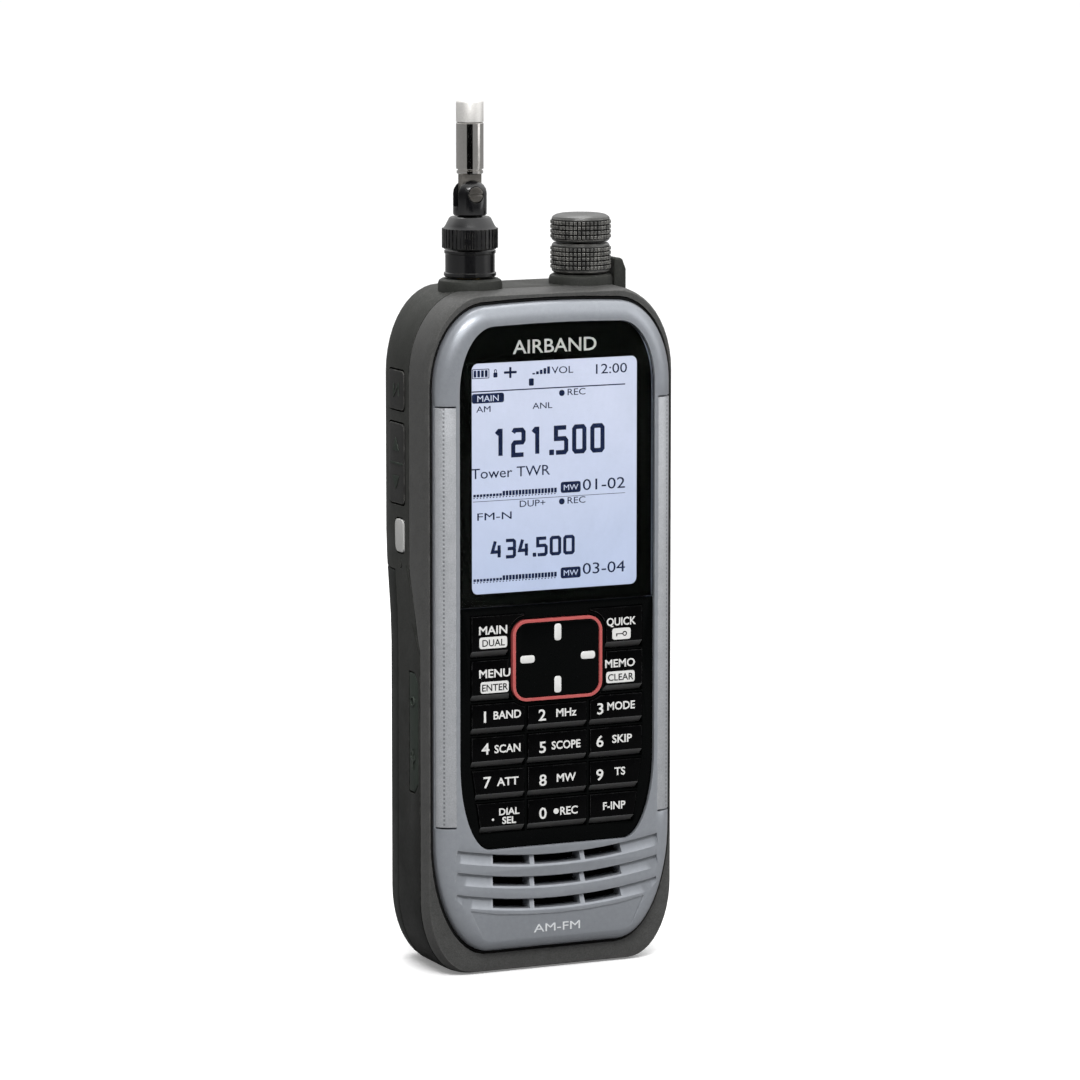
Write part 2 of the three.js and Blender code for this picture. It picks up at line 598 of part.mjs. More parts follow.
// ---------------------------------------------------------------- keypad
const BEZEL_FRONT = FRONT + BEZEL.sunk;
const BEZEL_BACK = BEZEL_FRONT + BEZEL.thickness;
const KEY_FRONT = BEZEL_FRONT - KEY.proud;
const FLANGE_FRONT = BEZEL_BACK + SLIDE;
const FLANGE_BACK = FLANGE_FRONT + KEY.flangeThickness;
const MAT_FRONT = PLATE_BACK - MAT.thickness;
const COLUMN_EDGE = KEY_CENTRE_WIDTH / 2;
const OUTER_EDGE = COLUMN_EDGE + KEY_COLUMN_GAP;
const FIELD_HALF_WIDTH = WINDOW_HALF_WIDTH - KEY_FIELD.sideMargin;
const COLUMNS = [
  [-FIELD_HALF_WIDTH, -OUTER_EDGE],
  [-COLUMN_EDGE, COLUMN_EDGE],
  [OUTER_EDGE, FIELD_HALF_WIDTH],
];

function keyField(growth) {
  const wide = FIELD_HALF_WIDTH + growth;
  const narrow = WINDOW_HALF_WIDTH - KEY_FIELD.bottomSideMargin + growth;
  const bottom = DIGITS_BOTTOM - growth;
  const taperFrom = DIGITS_BOTTOM + KEY_FIELD.taperHeight;
  return polygon([
    [-narrow, bottom],
    [narrow, bottom],
    [wide, taperFrom],
    [wide, KEYS_TOP + growth],
    [-wide, KEYS_TOP + growth],
    [-wide, taperFrom],
  ]);
}

const PAD_BOTTOM = LOWER_ROW_BOTTOM - PAD.belowRow;
const PAD_TOP = PAD_BOTTOM + PAD.height;

function padShape(growth) {
  const half = PAD.halfWidth + growth;
  return roundedRectangle(-half, PAD_BOTTOM - growth, half, PAD_TOP + growth, PAD.corner + growth);
}

// One key's outline, grown or shrunk, between two planes.
function keyPrism(cell, growth, front, back) {
  const [left, right] = cell.column;
  const outer = block(
    [left - growth, front, cell.bottom - growth],
    [right + growth, back, cell.top + growth],
  );
  const ringGap = 3 * PAD_CLEARANCE - growth;
  return outer
    .intersect(prismY(keyField(growth), front - OVERRUN, back + OVERRUN))
    .subtract(prismY(padShape(ringGap), front - OVERRUN, back + OVERRUN, 5));
}

function keyCap(cell) {
  const cap = keyPrism(cell, 0, KEY_FRONT, FLANGE_FRONT + EMBED);
  const flange = keyPrism(cell, KEY.flange, FLANGE_FRONT, FLANGE_BACK);
  const slope = polygon([
    [KEY_FRONT - OVERRUN, cell.bottom - OVERRUN],
    [KEY_FRONT + KEY.slope, cell.bottom - OVERRUN],
    [KEY_FRONT + KEY.slope, cell.bottom],
    [KEY_FRONT, cell.bottom + KEY.slope],
    [KEY_FRONT - OVERRUN, cell.bottom + KEY.slope],
  ]);
  return cap.subtract(prismX(slope, -FAR, FAR)).add(flange);
}

function digitCell(name, row, column) {
  const bottom = DIGITS_BOTTOM + (DIGIT_ROW.count - 1 - row) * DIGIT_PITCH;
  return { name, column: COLUMNS[column], bottom, top: bottom + DIGIT_ROW.height };
}

function functionCell(name, bottom, height, column) {
  return { name, column: COLUMNS[column], bottom, top: bottom + height };
}

const DIGIT_NAMES = [
  ['key_1', 'key_2', 'key_3'],
  ['key_4', 'key_5', 'key_6'],
  ['key_7', 'key_8', 'key_9'],
  ['key_dot', 'key_0', 'key_entry'],
];
const KEY_CELLS = [
  functionCell('key_main', UPPER_ROW_BOTTOM, FUNCTION_ROW.upperHeight, 0),
  functionCell('key_quick', UPPER_ROW_BOTTOM, FUNCTION_ROW.upperHeight, 2),
  functionCell('key_menu', LOWER_ROW_BOTTOM, FUNCTION_ROW.lowerHeight, 0),
  functionCell('key_clear', LOWER_ROW_BOTTOM, FUNCTION_ROW.lowerHeight, 2),
  ...DIGIT_NAMES.flatMap((names, row) => names.map((name, column) => digitCell(name, row, column))),
];

function keypadBezel() {
  let bezel = inWindow(SLIDE, 0, LENS_BOTTOM - GAP)(BEZEL_FRONT, BEZEL_BACK);
  for (const cell of KEY_CELLS) {
    bezel = bezel.subtract(keyPrism(cell, SLIDE, FRONT - OVERRUN, 0));
  }
  return bezel.subtract(prismY(padShape(PAD_CLEARANCE), FRONT - OVERRUN, 0, 5));
}

function keyMat() {
  return inWindow(MAT.margin, 0, LENS_BOTTOM - GAP)(MAT_FRONT, PLATE_BACK);
}

const PAD_FRONT = FRONT + PAD.sunk;
const PAD_BACK = PAD_FRONT + PAD.thickness;
const PAD_MIDDLE = (PAD_BOTTOM + PAD_TOP) / 2;

function padCap() {
  return prismY(padShape(-PAD_RING.width - PAD_RING.joint), PAD_FRONT, PAD_BACK, 5);
}

function padRing() {
  const ring = prismY(padShape(0), PAD_FRONT - PAD_RING.proud, PAD_BACK - PAD_RING.shorter, 5);
  return ring.subtract(prismY(padShape(-PAD_RING.width), FRONT - OVERRUN, 0, 5));
}

function padBase() {
  const front = PAD_BACK + GAP;
  return block(
    [-PAD_BASE.halfWidth, front, PAD_MIDDLE - PAD_BASE.halfHeight],
    [PAD_BASE.halfWidth, front + PAD_BASE.thickness, PAD_MIDDLE + PAD_BASE.halfHeight],
  );
}

// ---------------------------------------------------------------- side keys and jack cover
// The flange stands clear of the curved wall inside, so that the rocker can tilt.
const SIDE_KEY_INSIDE = -HALF_WIDTH + BODY.wall + SIDE_KEY.tiltSpace;

function sideKeyShape(key, growth) {
  const front = SEAM_UPPER + key.behindSeam;
  const top = BODY.height - key.fromTop;
  return roundedRectangle(
    front - growth,
    top - key.height - growth,
    front + key.length + growth,
    top + growth,
    SIDE_KEY.corner + growth,
  );
}

function sideKeySpace(key, clearance) {
  return prismX(sideKeyShape(key, clearance), -FAR, SIDE_KEY_INSIDE + SIDE_KEY.flangeThickness);
}

function sideKeyCap(key) {
  const face = -HALF_WIDTH - SIDE_KEY.proud;
  const cap = prismX(sideKeyShape(key, 0), face, SIDE_KEY_INSIDE + EMBED);
  const back = SIDE_KEY_INSIDE + SIDE_KEY.flangeThickness;
  const flange = prismX(sideKeyShape(key, SIDE_KEY.flange), SIDE_KEY_INSIDE, back);
  return cap.intersect(caseForm(-SIDE_KEY.proud)).add(flange);
}

const COVER_NOSE = FRONT + JACK_COVER.behindFront;
const COVER_TAIL = COVER_NOSE + JACK_COVER.length;
const COVER_TOP = JACK_COVER.bottom + JACK_COVER.height;

function jackCoverShape(clearance) {
  const { bottom, corner } = JACK_COVER;
  const low = bottom - clearance;
  const high = COVER_TOP + clearance;
  const nose = COVER_NOSE - clearance;
  const tail = COVER_TAIL + clearance;
  return polygon([
    [nose, low + corner],
    [nose + corner, low],
    [tail, low],
    [tail, high],
    [nose + corner, high],
    [nose, high - corner],
  ]);
}

function jackCoverSpace(clearance) {
  const inside = -HALF_WIDTH + JACK_COVER.thickness + clearance;
  return prismX(jackCoverShape(clearance), -FAR, inside);
}

const JACK_FACE = -HALF_WIDTH + JACK_COVER.thickness + 2 * GAP;
const JACK_MIDDLE = (COVER_NOSE + COVER_TAIL) / 2;

// Opening through the case wall for the socket block, framed by the ledge the cover sits on.
function jackWindow(clearance) {
  const half = JACK_BLOCK.depth / 2 + clearance;
  const margin = JACK_BLOCK.margin - clearance;
  return block(
    [JACK_FACE - clearance, JACK_MIDDLE - half, JACK_COVER.bottom + margin],
    [JACK_FACE + JACK_BLOCK.width, JACK_MIDDLE + half, COVER_TOP - margin],
  );
}

function jackCover() {
  const inside = -HALF_WIDTH + JACK_COVER.thickness;
  return prismX(jackCoverShape(0), -HALF_WIDTH, inside).intersect(caseForm(0));
}

// Socket block behind the cover, with one round and one flat socket facing out.
function jackBlock() {
  const { halfWidth, halfHeight, depth, belowEnd } = FLAT_SOCKET;
  const mouth = [JACK_FACE, JACK_MIDDLE, JACK_COVER.bottom + ROUND_SOCKET.aboveEnd];
  const round = rodAlong(ALONG_X, mouth, ROUND_SOCKET.radius, 2 * ROUND_SOCKET.depth, 16);
  const height = COVER_TOP - belowEnd;
  const flat = block(
    [JACK_FACE - OVERRUN, JACK_MIDDLE - halfWidth, height - halfHeight],
    [JACK_FACE + depth, JACK_MIDDLE + halfWidth, height + halfHeight],
  );
  return jackWindow(0).subtract(round).subtract(flat);
}

// ---------------------------------------------------------------- antenna
const BARREL_BOTTOM = BOSS_TOP + GAP;
const BARREL_TOP = BARREL_BOTTOM + ANTENNA_BARREL.height;
const COLLAR_BOTTOM = BARREL_TOP + GAP;
const COLLAR_TOP = COLLAR_BOTTOM + COLLAR.grip + COLLAR.shoulder;
const CLEVIS_BOTTOM = COLLAR_TOP + GAP;
const CLEVIS_TOP = CLEVIS_BOTTOM + CLEVIS.height;
const PIN_HEIGHT = CLEVIS_BOTTOM + KNUCKLE.height;
const TONGUE_SPACE = KNUCKLE.tongueRadius + GAP;
const ROD_BOTTOM = PIN_HEIGHT + ROD.foot;
const ROD_TOP = ROD_BOTTOM + ROD.length;
const ROD_FLOOR = ROD_BOTTOM + ROD.floor;

function antennaSocket() {
  const { bore, below, above } = ANTENNA_SOCKET;
  return tubeZ(-AXIS_OFFSET, SHAFT.outerRadius, bore, BODY.height - below, BARREL_BOTTOM + above);
}

function antennaBarrel() {
  return tubeZ(-AXIS_OFFSET, ANTENNA_BARREL.radius, ANTENNA_BARREL.bore, BARREL_BOTTOM, BARREL_TOP);
}

// Grip ring with straight flutes under a conical shoulder.
function antennaCollar() {
  const gripTop = COLLAR_BOTTOM + COLLAR.grip;
  let collar = turned(-AXIS_OFFSET, [
    [COLLAR.bore, COLLAR_BOTTOM],
    [COLLAR.radius, COLLAR_BOTTOM],
    [COLLAR.radius, gripTop],
    [COLLAR.radius - COLLAR_STEP.inset, gripTop + COLLAR_STEP.rise],
    [COLLAR.topRadius, COLLAR_TOP],
    [COLLAR.bore, COLLAR_TOP],
    [COLLAR.bore, COLLAR_BOTTOM],
  ], 32);
  const reach = COLLAR.radius + FLUTE.outside;
  const flute = rodZ(0, FLUTE.radius, COLLAR_BOTTOM + FLUTE.above, gripTop - FLUTE.below, 5);
  for (let i = 0; i < FLUTE.count; i += 1) {
    const angle = (2 * Math.PI * i) / FLUTE.count;
    const place = [reach * Math.cos(angle) - AXIS_OFFSET, reach * Math.sin(angle), 0];
    collar = collar.subtract(flute.translate(place));
  }
  return collar;
}

function antennaSwivel() {
  const headTop = COLLAR_BOTTOM - GAP;
  const headBottom = headTop - CLEVIS.stemHead;
  let clevis = turned(-AXIS_OFFSET, [
    [0, CLEVIS_BOTTOM],
    [CLEVIS.radius, CLEVIS_BOTTOM],
    [CLEVIS.radius, CLEVIS_TOP - DOME.inset],
    [CLEVIS.radius - DOME.shoulderInset, CLEVIS_TOP - DOME.shoulderDrop],
    [CLEVIS.radius - DOME.inset, CLEVIS_TOP],
    [0, CLEVIS_TOP],
  ]);
  const stem = rodZ(-AXIS_OFFSET, CLEVIS.stemRadius, headTop - EMBED, CLEVIS_BOTTOM + EMBED, 16);
  clevis = clevis.add(stem).add(rodZ(-AXIS_OFFSET, CLEVIS.stemHeadRadius, headBottom, headTop, 16));
  const half = CLEVIS.slot / 2;
  const reach = CLEVIS.radius + OVERRUN;
  const slot = block(
    [-AXIS_OFFSET - reach, -half, PIN_HEIGHT - TONGUE_SPACE],
    [-AXIS_OFFSET + reach, half, CLEVIS_TOP + OVERRUN],
  );
  return clevis.subtract(slot).subtract(pinBore(reach));
}

function pinBore(reach) {
  return rodY(-AXIS_OFFSET, PIN_HEIGHT, KNUCKLE.pinRadius + SLIDE, -reach, reach);
}

function knucklePin() {
  const reach = CLEVIS.radius - KNUCKLE.pinInset;
  return rodY(-AXIS_OFFSET, PIN_HEIGHT, KNUCKLE.pinRadius, -reach, reach);
}

// Outer rod section with the flat tongue that folds in the clevis.
function rodOuter() {
  const half = KNUCKLE.tongueThickness / 2;
  let tongue = rodY(-AXIS_OFFSET, PIN_HEIGHT, KNUCKLE.tongueRadius, -half, half, 20);
  const reach = KNUCKLE.tongueRadius;
  tongue = tongue.add(block(
    [-AXIS_OFFSET - reach, -half, PIN_HEIGHT],
    [-AXIS_OFFSET + reach, half, ROD_BOTTOM + EMBED],
  ));
  const bore = rodZ(-AXIS_OFFSET, ROD.radius - ROD.wall, ROD_FLOOR, ROD_TOP + OVERRUN);
  const tube = rodZ(-AXIS_OFFSET, ROD.radius, ROD_BOTTOM, ROD_TOP).subtract(bore);
  return tube.add(tongue).subtract(pinBore(half + OVERRUN));
}

const MIDDLE_RADIUS = ROD.radius - ROD.wall - ROD.slip;
const INNER_RADIUS = MIDDLE_RADIUS - ROD.wall - ROD.slip;

function rodMiddle() {
  return tubeZ(-AXIS_OFFSET, MIDDLE_RADIUS, MIDDLE_RADIUS - ROD.wall, ROD_FLOOR + GAP, ROD_TOP);
}

function rodInner() {
  return rodZ(-AXIS_OFFSET, INNER_RADIUS, ROD_FLOOR + GAP, ROD_TOP, 20);
}

function antennaTip() {
  const low = ROD_TOP + ROD_TIP.joint;
  const high = low + ROD_TIP.height;
  return turned(-AXIS_OFFSET, [
    [0, low],
    [ROD.radius, low],
    [ROD.radius, high - ROD_TIP.chamfer],
    [ROD.radius - ROD_TIP.chamfer, high],
    [0, high],
  ]);
}

// ---------------------------------------------------------------- rotary control
const DIAL_BOTTOM = BOSS_TOP + GAP;
const DIAL_TOP = DIAL_BOTTOM + KNOB.lowerHeight;
const VOLUME_BOTTOM = DIAL_TOP + GAP;
const VOLUME_TOP = VOLUME_BOTTOM + KNOB.upperHeight;
const VOLUME_POCKET = VOLUME_TOP - KNOB_CAP;

function dialKnob() {
  const bore = SHAFT.outerRadius + KNOB_BORE_CLEARANCE;
  return turned(AXIS_OFFSET, [
    [bore, DIAL_BOTTOM],
    [KNOB.radius - DIAL_FOOT.inset, DIAL_BOTTOM],
    [KNOB.radius, DIAL_BOTTOM + DIAL_FOOT.rise],
    [KNOB.radius, DIAL_TOP - KNOB.edge],
    [KNOB.radius - KNOB.edge, DIAL_TOP],
    [bore, DIAL_TOP],
    [bore, DIAL_BOTTOM],
  ]);
}

function volumeKnob() {
  const bore = SHAFT.innerRadius + KNOB_BORE_CLEARANCE;
  return turned(AXIS_OFFSET, [
    [bore, VOLUME_BOTTOM],
    [KNOB.radius - KNOB.edge, VOLUME_BOTTOM],
    [KNOB.radius, VOLUME_BOTTOM + KNOB.edge],
    [KNOB.radius, VOLUME_TOP - KNOB.topChamfer],
    [KNOB.radius - KNOB.topChamfer, VOLUME_TOP - KNOB.topDrop],
    [KNOB.radius - 2 * KNOB.topChamfer, VOLUME_TOP],
    [0, VOLUME_TOP],
    [0, VOLUME_POCKET],
    [bore, VOLUME_POCKET],
    [bore, VOLUME_BOTTOM],
  ]);
}

const ENCODER_TOP = BODY.height - BODY.wall - ENCODER.belowWall;
const SHAFT_FOOT = ENCODER_TOP + GAP;

function dialShaft() {
  const bore = SHAFT.innerRadius + GAP;
  return tubeZ(AXIS_OFFSET, SHAFT.outerRadius, bore, SHAFT_FOOT, DIAL_TOP - GAP);
}

function volumeShaft() {
  return rodZ(AXIS_OFFSET, SHAFT.innerRadius, SHAFT_FOOT, VOLUME_POCKET - GAP);
}

function encoderBody() {
  const half = ENCODER.size / 2;
  return block(
    [AXIS_OFFSET - half, -half, ENCODER_TOP - ENCODER.height],
    [AXIS_OFFSET + half, half, ENCODER_TOP],
  );
}

// ---------------------------------------------------------------- inside
function mainBoard() {
  const half = HALF_WIDTH - BOARD.sideMargin;
  let board = block(
    [-half, BOARD_FRONT, BOARD.bottom],
    [half, BOARD_FRONT + BOARD.thickness, BODY.height - BOARD.topMargin],
  );
  for (const place of SCREW_PLACES) {
    board = board.subtract(rodY(place.x, place.z, SCREW.boss + GAP, FRONT, BACK));
  }
  return board;
}

function speaker() {
  const back = SPEAKER_FRONT + SPEAKER.depth;
  const rim = rodY(0, SPEAKER.height, SPEAKER.radius, SPEAKER_FRONT, SPEAKER_FRONT + SPEAKER.rim, 24);
  return rim.add(rodY(0, SPEAKER.height, SPEAKER.magnetRadius, SPEAKER_FRONT + EMBED, back));
}

function caseScrew(place) {
  const under = place.seat + EMBED;
  const top = under + SCREW.headHeight;
  const head = rodY(place.x, place.z, SCREW.headRadius, under, top);
  const foot = PANEL_FRONT + SCREW_BLIND + GAP;
  const shank = rodY(place.x, place.z, SCREW.shankRadius, foot, under + EMBED, 12);
  const slot = (across, up) => block(
    [place.x - across, top - SCREW_SLOT.depth, place.z - up],
    [place.x + across, top + OVERRUN, place.z + up],
  );
  return head.add(shank)
    .subtract(slot(SCREW_SLOT.halfLength, SCREW_SLOT.halfWidth))
    .subtract(slot(SCREW_SLOT.halfWidth, SCREW_SLOT.halfLength));
}

// ---------------------------------------------------------------- battery pack
function packForm(shrink) {
  const low = block([-FAR, PACK_FRONT, -FAR], [FAR, FAR, PACK_TOP - shrink]);
  return caseForm(shrink).intersect(low);
}

const PACK_INSIDE = PACK_FRONT + PACK.lid;
const LATCH_TOP = PACK_TOP - LATCH.below;

// The latch's own room when growth and travel are 0, and its pocket in the pack otherwise.
function latchRoom(growth, travel, back) {
  const half = LATCH.width / 2 + growth;
  return block(
    [-half, BACK - LATCH.depth - growth, LATCH_TOP - LATCH.height - travel - growth],
    [half, back, LATCH_TOP + growth],
  );
}

function batteryShell() {
  const pocket = latchRoom(SLIDE, LATCH.travel, BACK + OVERRUN);
  const pocketWall = pocket.translate([0, -PACK.wall, -PACK.wall / 2]);
  const hollow = packForm(PACK.wall).subtract(pocketWall);
  return packForm(0).subtract(hollow).subtract(pocket).subtract(contactSpace(GAP));
}

function batteryLid() {
  const sheet = block([-FAR, PACK_FRONT, -FAR], [FAR, PACK_INSIDE - GAP, ABOVE]);
  return packForm(PACK.wall + SLIDE).intersect(sheet).subtract(contactSpace(GAP));
}

function batteryCell() {
  const half = HALF_WIDTH - CELL.sideMargin;
  const back = BACK - PACK.wall - CELL.clearance;
  const corner = Math.min(CELL.corner, (back - PACK_INSIDE) / 2 - EMBED);
  const round = roundedRectangle(-half, PACK_INSIDE, half, back, corner);
  const top = LATCH_TOP - LATCH.height - LATCH.travel - PACK.wall - CELL.topClearance;
  return prismZ(round, CELL.bottom, top, 4);
}

function batteryLatch() {
  const { count, halfWidth, halfHeight, depth, pitch, fromTop } = LATCH_GROOVE;
  let latch = latchRoom(0, 0, BACK);
  for (let i = 0; i < count; i += 1) {
    const height = LATCH_TOP - fromTop - i * pitch;
    latch = latch.subtract(block(
      [-halfWidth, BACK - depth, height - halfHeight],
      [halfWidth, BACK + OVERRUN, height + halfHeight],
    ));
  }
  return latch;
}

function contactSpace(clearance) {
  const half = CONTACTS.halfWidth + clearance;
  return block(
    [-half, PACK_FRONT - OVERRUN, CONTACTS.bottom - clearance],
    [half, PACK_INSIDE + CONTACTS.room + clearance, CONTACTS.top + clearance],
  );
}

// Contact block that stands in the pack's window, against the bay wall.
function contactBlock() {
  const { halfWidth, bottom, top, shortOfCell } = CONTACTS;
  return block([-halfWidth, PACK_FRONT, bottom], [halfWidth, PACK_INSIDE - shortOfCell, top]);
}

// ---------------------------------------------------------------- the assembly
const radio = new THREE.Group();

function add(name, solid, color, roughness, metalness = 0) {
  const material = new THREE.MeshStandardMaterial({ color, roughness, metalness });
  const mesh = new THREE.Mesh(geometryOf(solid), material);
  mesh.name = name;
  radio.add(mesh);
}

const DARK_GREY = 0x4c4c4b;
const SILVER = 0xa9acb0;
const GLOSS_BLACK = 0x0b0b0d;
const SOFT_BLACK = 0x1b1b1c;
const KEY_BLACK = 0x101012;
const CORAL = 0xc0605f;
const PALE_GREY = 0xb9b9b9;
const CHROME = 0xd8d8da;

add('front_case', frontCase(), DARK_GREY, 0.6);
add('rear_case', rearCase(), DARK_GREY, 0.65);
add('gasket', gasket(), SOFT_BLACK, 0.8);
add('front_plate', frontPlate(), SILVER, 0.38, 0.6);
add('side_trim_left', sideTrim(LEFT), SILVER, 0.5, 0.5);
add('side_trim_right', sideTrim(RIGHT), SILVER, 0.5, 0.5);
add('display_lens', displayLens(), 0xdfe6ee, 0.05);
add('display_frame', displayFrame(), GLOSS_BLACK, 0.4);
add('display_module', displayModule(), 0xcfd6ee, 0.5);
add('keypad_bezel', keypadBezel(), GLOSS_BLACK, 0.15);
add('key_mat', keyMat(), SOFT_BLACK, 0.9);
for (const cell of KEY_CELLS) {
  add(cell.name, keyCap(cell), KEY_BLACK, 0.2);
}
add('dpad_base', padBase(), SOFT_BLACK, 0.6);
add('dpad_pad', padCap(), KEY_BLACK, 0.15);
add('dpad_ring', padRing(), CORAL, 0.4);
add('squelch_key', sideKeyCap(SQUELCH_KEY), DARK_GREY, 0.75);
add('rocker_key', sideKeyCap(ROCKER), DARK_GREY, 0.75);
add('power_key', sideKeyCap(POWER_KEY), PALE_GREY, 0.6);
add('jack_cover', jackCover(), SOFT_BLACK, 0.85);
add('jack_block', jackBlock(), SOFT_BLACK, 0.5);
add('antenna_socket', antennaSocket(), 0xb89a5a, 0.3, 1);
add('antenna_barrel', antennaBarrel(), GLOSS_BLACK, 0.15, 0.4);
add('antenna_collar', antennaCollar(), GLOSS_BLACK, 0.25, 0.4);
add('antenna_swivel', antennaSwivel(), GLOSS_BLACK, 0.15, 0.6);
add('knuckle_pin', knucklePin(), CHROME, 0.3, 1);
add('rod_outer', rodOuter(), CHROME, 0.1, 1);
add('rod_middle', rodMiddle(), CHROME, 0.1, 1);
add('rod_inner', rodInner(), CHROME, 0.1, 1);
add('antenna_tip', antennaTip(), 0xc4c3bf, 0.45, 0.7);
add('dial_knob', dialKnob(), DARK_GREY, 0.5);
add('volume_knob', volumeKnob(), DARK_GREY, 0.5);
add('dial_shaft', dialShaft(), PALE_GREY, 0.4, 0.8);
add('volume_shaft', volumeShaft(), PALE_GREY, 0.4, 0.8);
add('encoder_body', encoderBody(), SOFT_BLACK, 0.5);
add('main_board', mainBoard(), 0x1f5a35, 0.6);
add('speaker', speaker(), 0x3a3a3c, 0.6);
for (const place of SCREW_PLACES) {
  add(place.name, caseScrew(place), 0x2a2a2c, 0.4, 0.9);
}
add('battery_shell', batteryShell(), SOFT_BLACK, 0.7);
add('battery_lid', batteryLid(), SOFT_BLACK, 0.7);
add('battery_cell', batteryCell(), 0x3d5f8f, 0.5);
add('battery_latch', batteryLatch(), DARK_GREY, 0.6);
add('contact_block', contactBlock(), 0xb89a5a, 0.35, 1);

export default radio;
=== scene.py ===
"""Handheld air-band receiver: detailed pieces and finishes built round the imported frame."""
import math

import bpy
from mathutils import Matrix, Vector


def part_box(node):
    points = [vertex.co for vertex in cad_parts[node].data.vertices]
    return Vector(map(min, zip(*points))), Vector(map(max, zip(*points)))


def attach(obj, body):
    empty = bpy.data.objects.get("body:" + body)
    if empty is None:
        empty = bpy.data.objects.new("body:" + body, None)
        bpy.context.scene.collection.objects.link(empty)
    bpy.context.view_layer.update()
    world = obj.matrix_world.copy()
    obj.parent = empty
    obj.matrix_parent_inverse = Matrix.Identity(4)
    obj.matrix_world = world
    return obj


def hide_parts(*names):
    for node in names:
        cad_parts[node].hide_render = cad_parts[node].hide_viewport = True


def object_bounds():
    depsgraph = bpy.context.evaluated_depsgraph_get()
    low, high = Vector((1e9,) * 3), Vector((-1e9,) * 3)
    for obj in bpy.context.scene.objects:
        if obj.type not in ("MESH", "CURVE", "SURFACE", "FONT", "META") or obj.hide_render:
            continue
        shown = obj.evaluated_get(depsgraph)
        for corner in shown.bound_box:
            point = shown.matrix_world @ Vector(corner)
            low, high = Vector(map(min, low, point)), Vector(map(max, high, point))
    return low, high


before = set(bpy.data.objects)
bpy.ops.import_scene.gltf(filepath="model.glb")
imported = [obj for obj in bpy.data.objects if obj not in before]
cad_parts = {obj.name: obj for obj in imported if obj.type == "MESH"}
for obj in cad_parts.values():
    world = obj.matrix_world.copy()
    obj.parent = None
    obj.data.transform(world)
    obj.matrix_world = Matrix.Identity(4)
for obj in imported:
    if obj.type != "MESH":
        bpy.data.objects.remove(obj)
cad_low, cad_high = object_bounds()

# Sizes below are in millimetres. They become metres where a piece is made.
MM = 0.001
LEFT, RIGHT = -1, 1


def span(node):
    """Lowest and highest corner of a node of the frame."""
    low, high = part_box(node)
    return low / MM, high / MM


# ---------------------------------------------------------------- sizes read from the frame
rear_low, rear_high = span("rear_case")
front_low, front_high = span("front_case")
plate_low, plate_high = span("front_plate")
lens_low, lens_high = span("display_lens")
module_low, module_high = span("display_module")
mask_low, mask_high = span("display_frame")
bezel_low, bezel_high = span("keypad_bezel")
mat_low, mat_high = span("key_mat")
trim_low, trim_high = span("side_trim_right")
ring_low, ring_high = span("dpad_ring")
pack_low, pack_high = span("battery_shell")
latch_low, latch_high = span("battery_latch")
barrel_low, barrel_high = span("antenna_barrel")
collar_low, collar_high = span("antenna_collar")
swivel_low, swivel_high = span("antenna_swivel")
pin_low, pin_high = span("knuckle_pin")
rod_low, rod_high = span("rod_outer")
tip_low, tip_high = span("antenna_tip")
dial_low, dial_high = span("dial_knob")
volume_low, volume_high = span("volume_knob")

HALF_WIDTH = rear_high.x
BODY_TOP = front_high.z
BODY_MIDDLE = BODY_TOP / 2
FRONT = plate_low.y
BACK = rear_high.y
CASE_FRONT = front_low.y
SEAM_UPPER = front_high.y
SEAM_LOWER = SEAM_UPPER - 4.7
SEAM_BEND = (68, 84)
GAP = 0.3
WALL = 1.8

TOP_CORNER = (13, 17.6)
BOTTOM_CORNER = (10, 16)
FRONT_EDGE_RUN, FRONT_EDGE_INSET, FRONT_END_INSET = 7.6, 0.95, 0.7
BACK_EDGE_RUN, BACK_EDGE_INSET = 13.4, 7
BACK_END_RUN, BACK_END_INSET = 4, 2.5
GRIP_BANDS = (68, 74, 80, 86, 92)
GRIP_WAIST, GRIP_EXTRA_INSET, GRIP_EXTRA_RUN = 0.7, 0.5, 2

PLATE_HALF = plate_high.x
PLATE_CROWN = 0.45
PLATE_TOP = plate_high.z - PLATE_CROWN
PLATE_TOP_CORNER = (12, 17.2)
PLATE_BOTTOM_CORNER = (12, 24)
PLATE_BORDER_INSET, PLATE_BORDER_DROP = 4.2, 3.05
WINDOW_HALF, WINDOW_TOP, WINDOW_BOTTOM, WINDOW_CROWN = 22.5, 136, 26.8, 0.3
WINDOW_TOP_CORNER = (8, 13.5)
WINDOW_BOTTOM_CORNER = (7, 18.2)
SCREEN_HALF = 19.05
SCREEN_BOTTOM, SCREEN_TOP = module_low.z + 1.8, module_high.z - 1.8
PACK_TOP = pack_high.z
PACK_FRONT = pack_low.y
ANTENNA_X = (barrel_low.x + barrel_high.x) / 2
KNOB_X = (dial_low.x + dial_high.x) / 2
BOSS_RADIUS = 6.7
BOSS_TOP = dial_low.z - GAP
FAR = 60


# ---------------------------------------------------------------- selecting and shaping
def pick(piece):
    """Makes one piece the only selected and active one, in object mode."""
    if bpy.context.mode != "OBJECT":
        bpy.ops.object.mode_set(mode="OBJECT")
    bpy.ops.object.select_all(action="DESELECT")
    piece.hide_set(False)
    piece.select_set(True)
    bpy.context.view_layer.objects.active = piece


def enter(piece, kind):
    pick(piece)
    bpy.ops.object.mode_set(mode="EDIT")
    bpy.ops.mesh.select_mode(type=kind)


def leave():
    bpy.ops.object.mode_set(mode="OBJECT")


def choose_faces(piece, test):
    """Enters edit mode with the faces chosen whose centre (mm) and normal pass the test."""
    enter(piece, "FACE")
    bpy.ops.mesh.select_all(action="DESELECT")
    leave()
    for face in piece.data.polygons:
        face.select = bool(test(face.center / MM, face.normal))
    bpy.ops.object.mode_set(mode="EDIT")


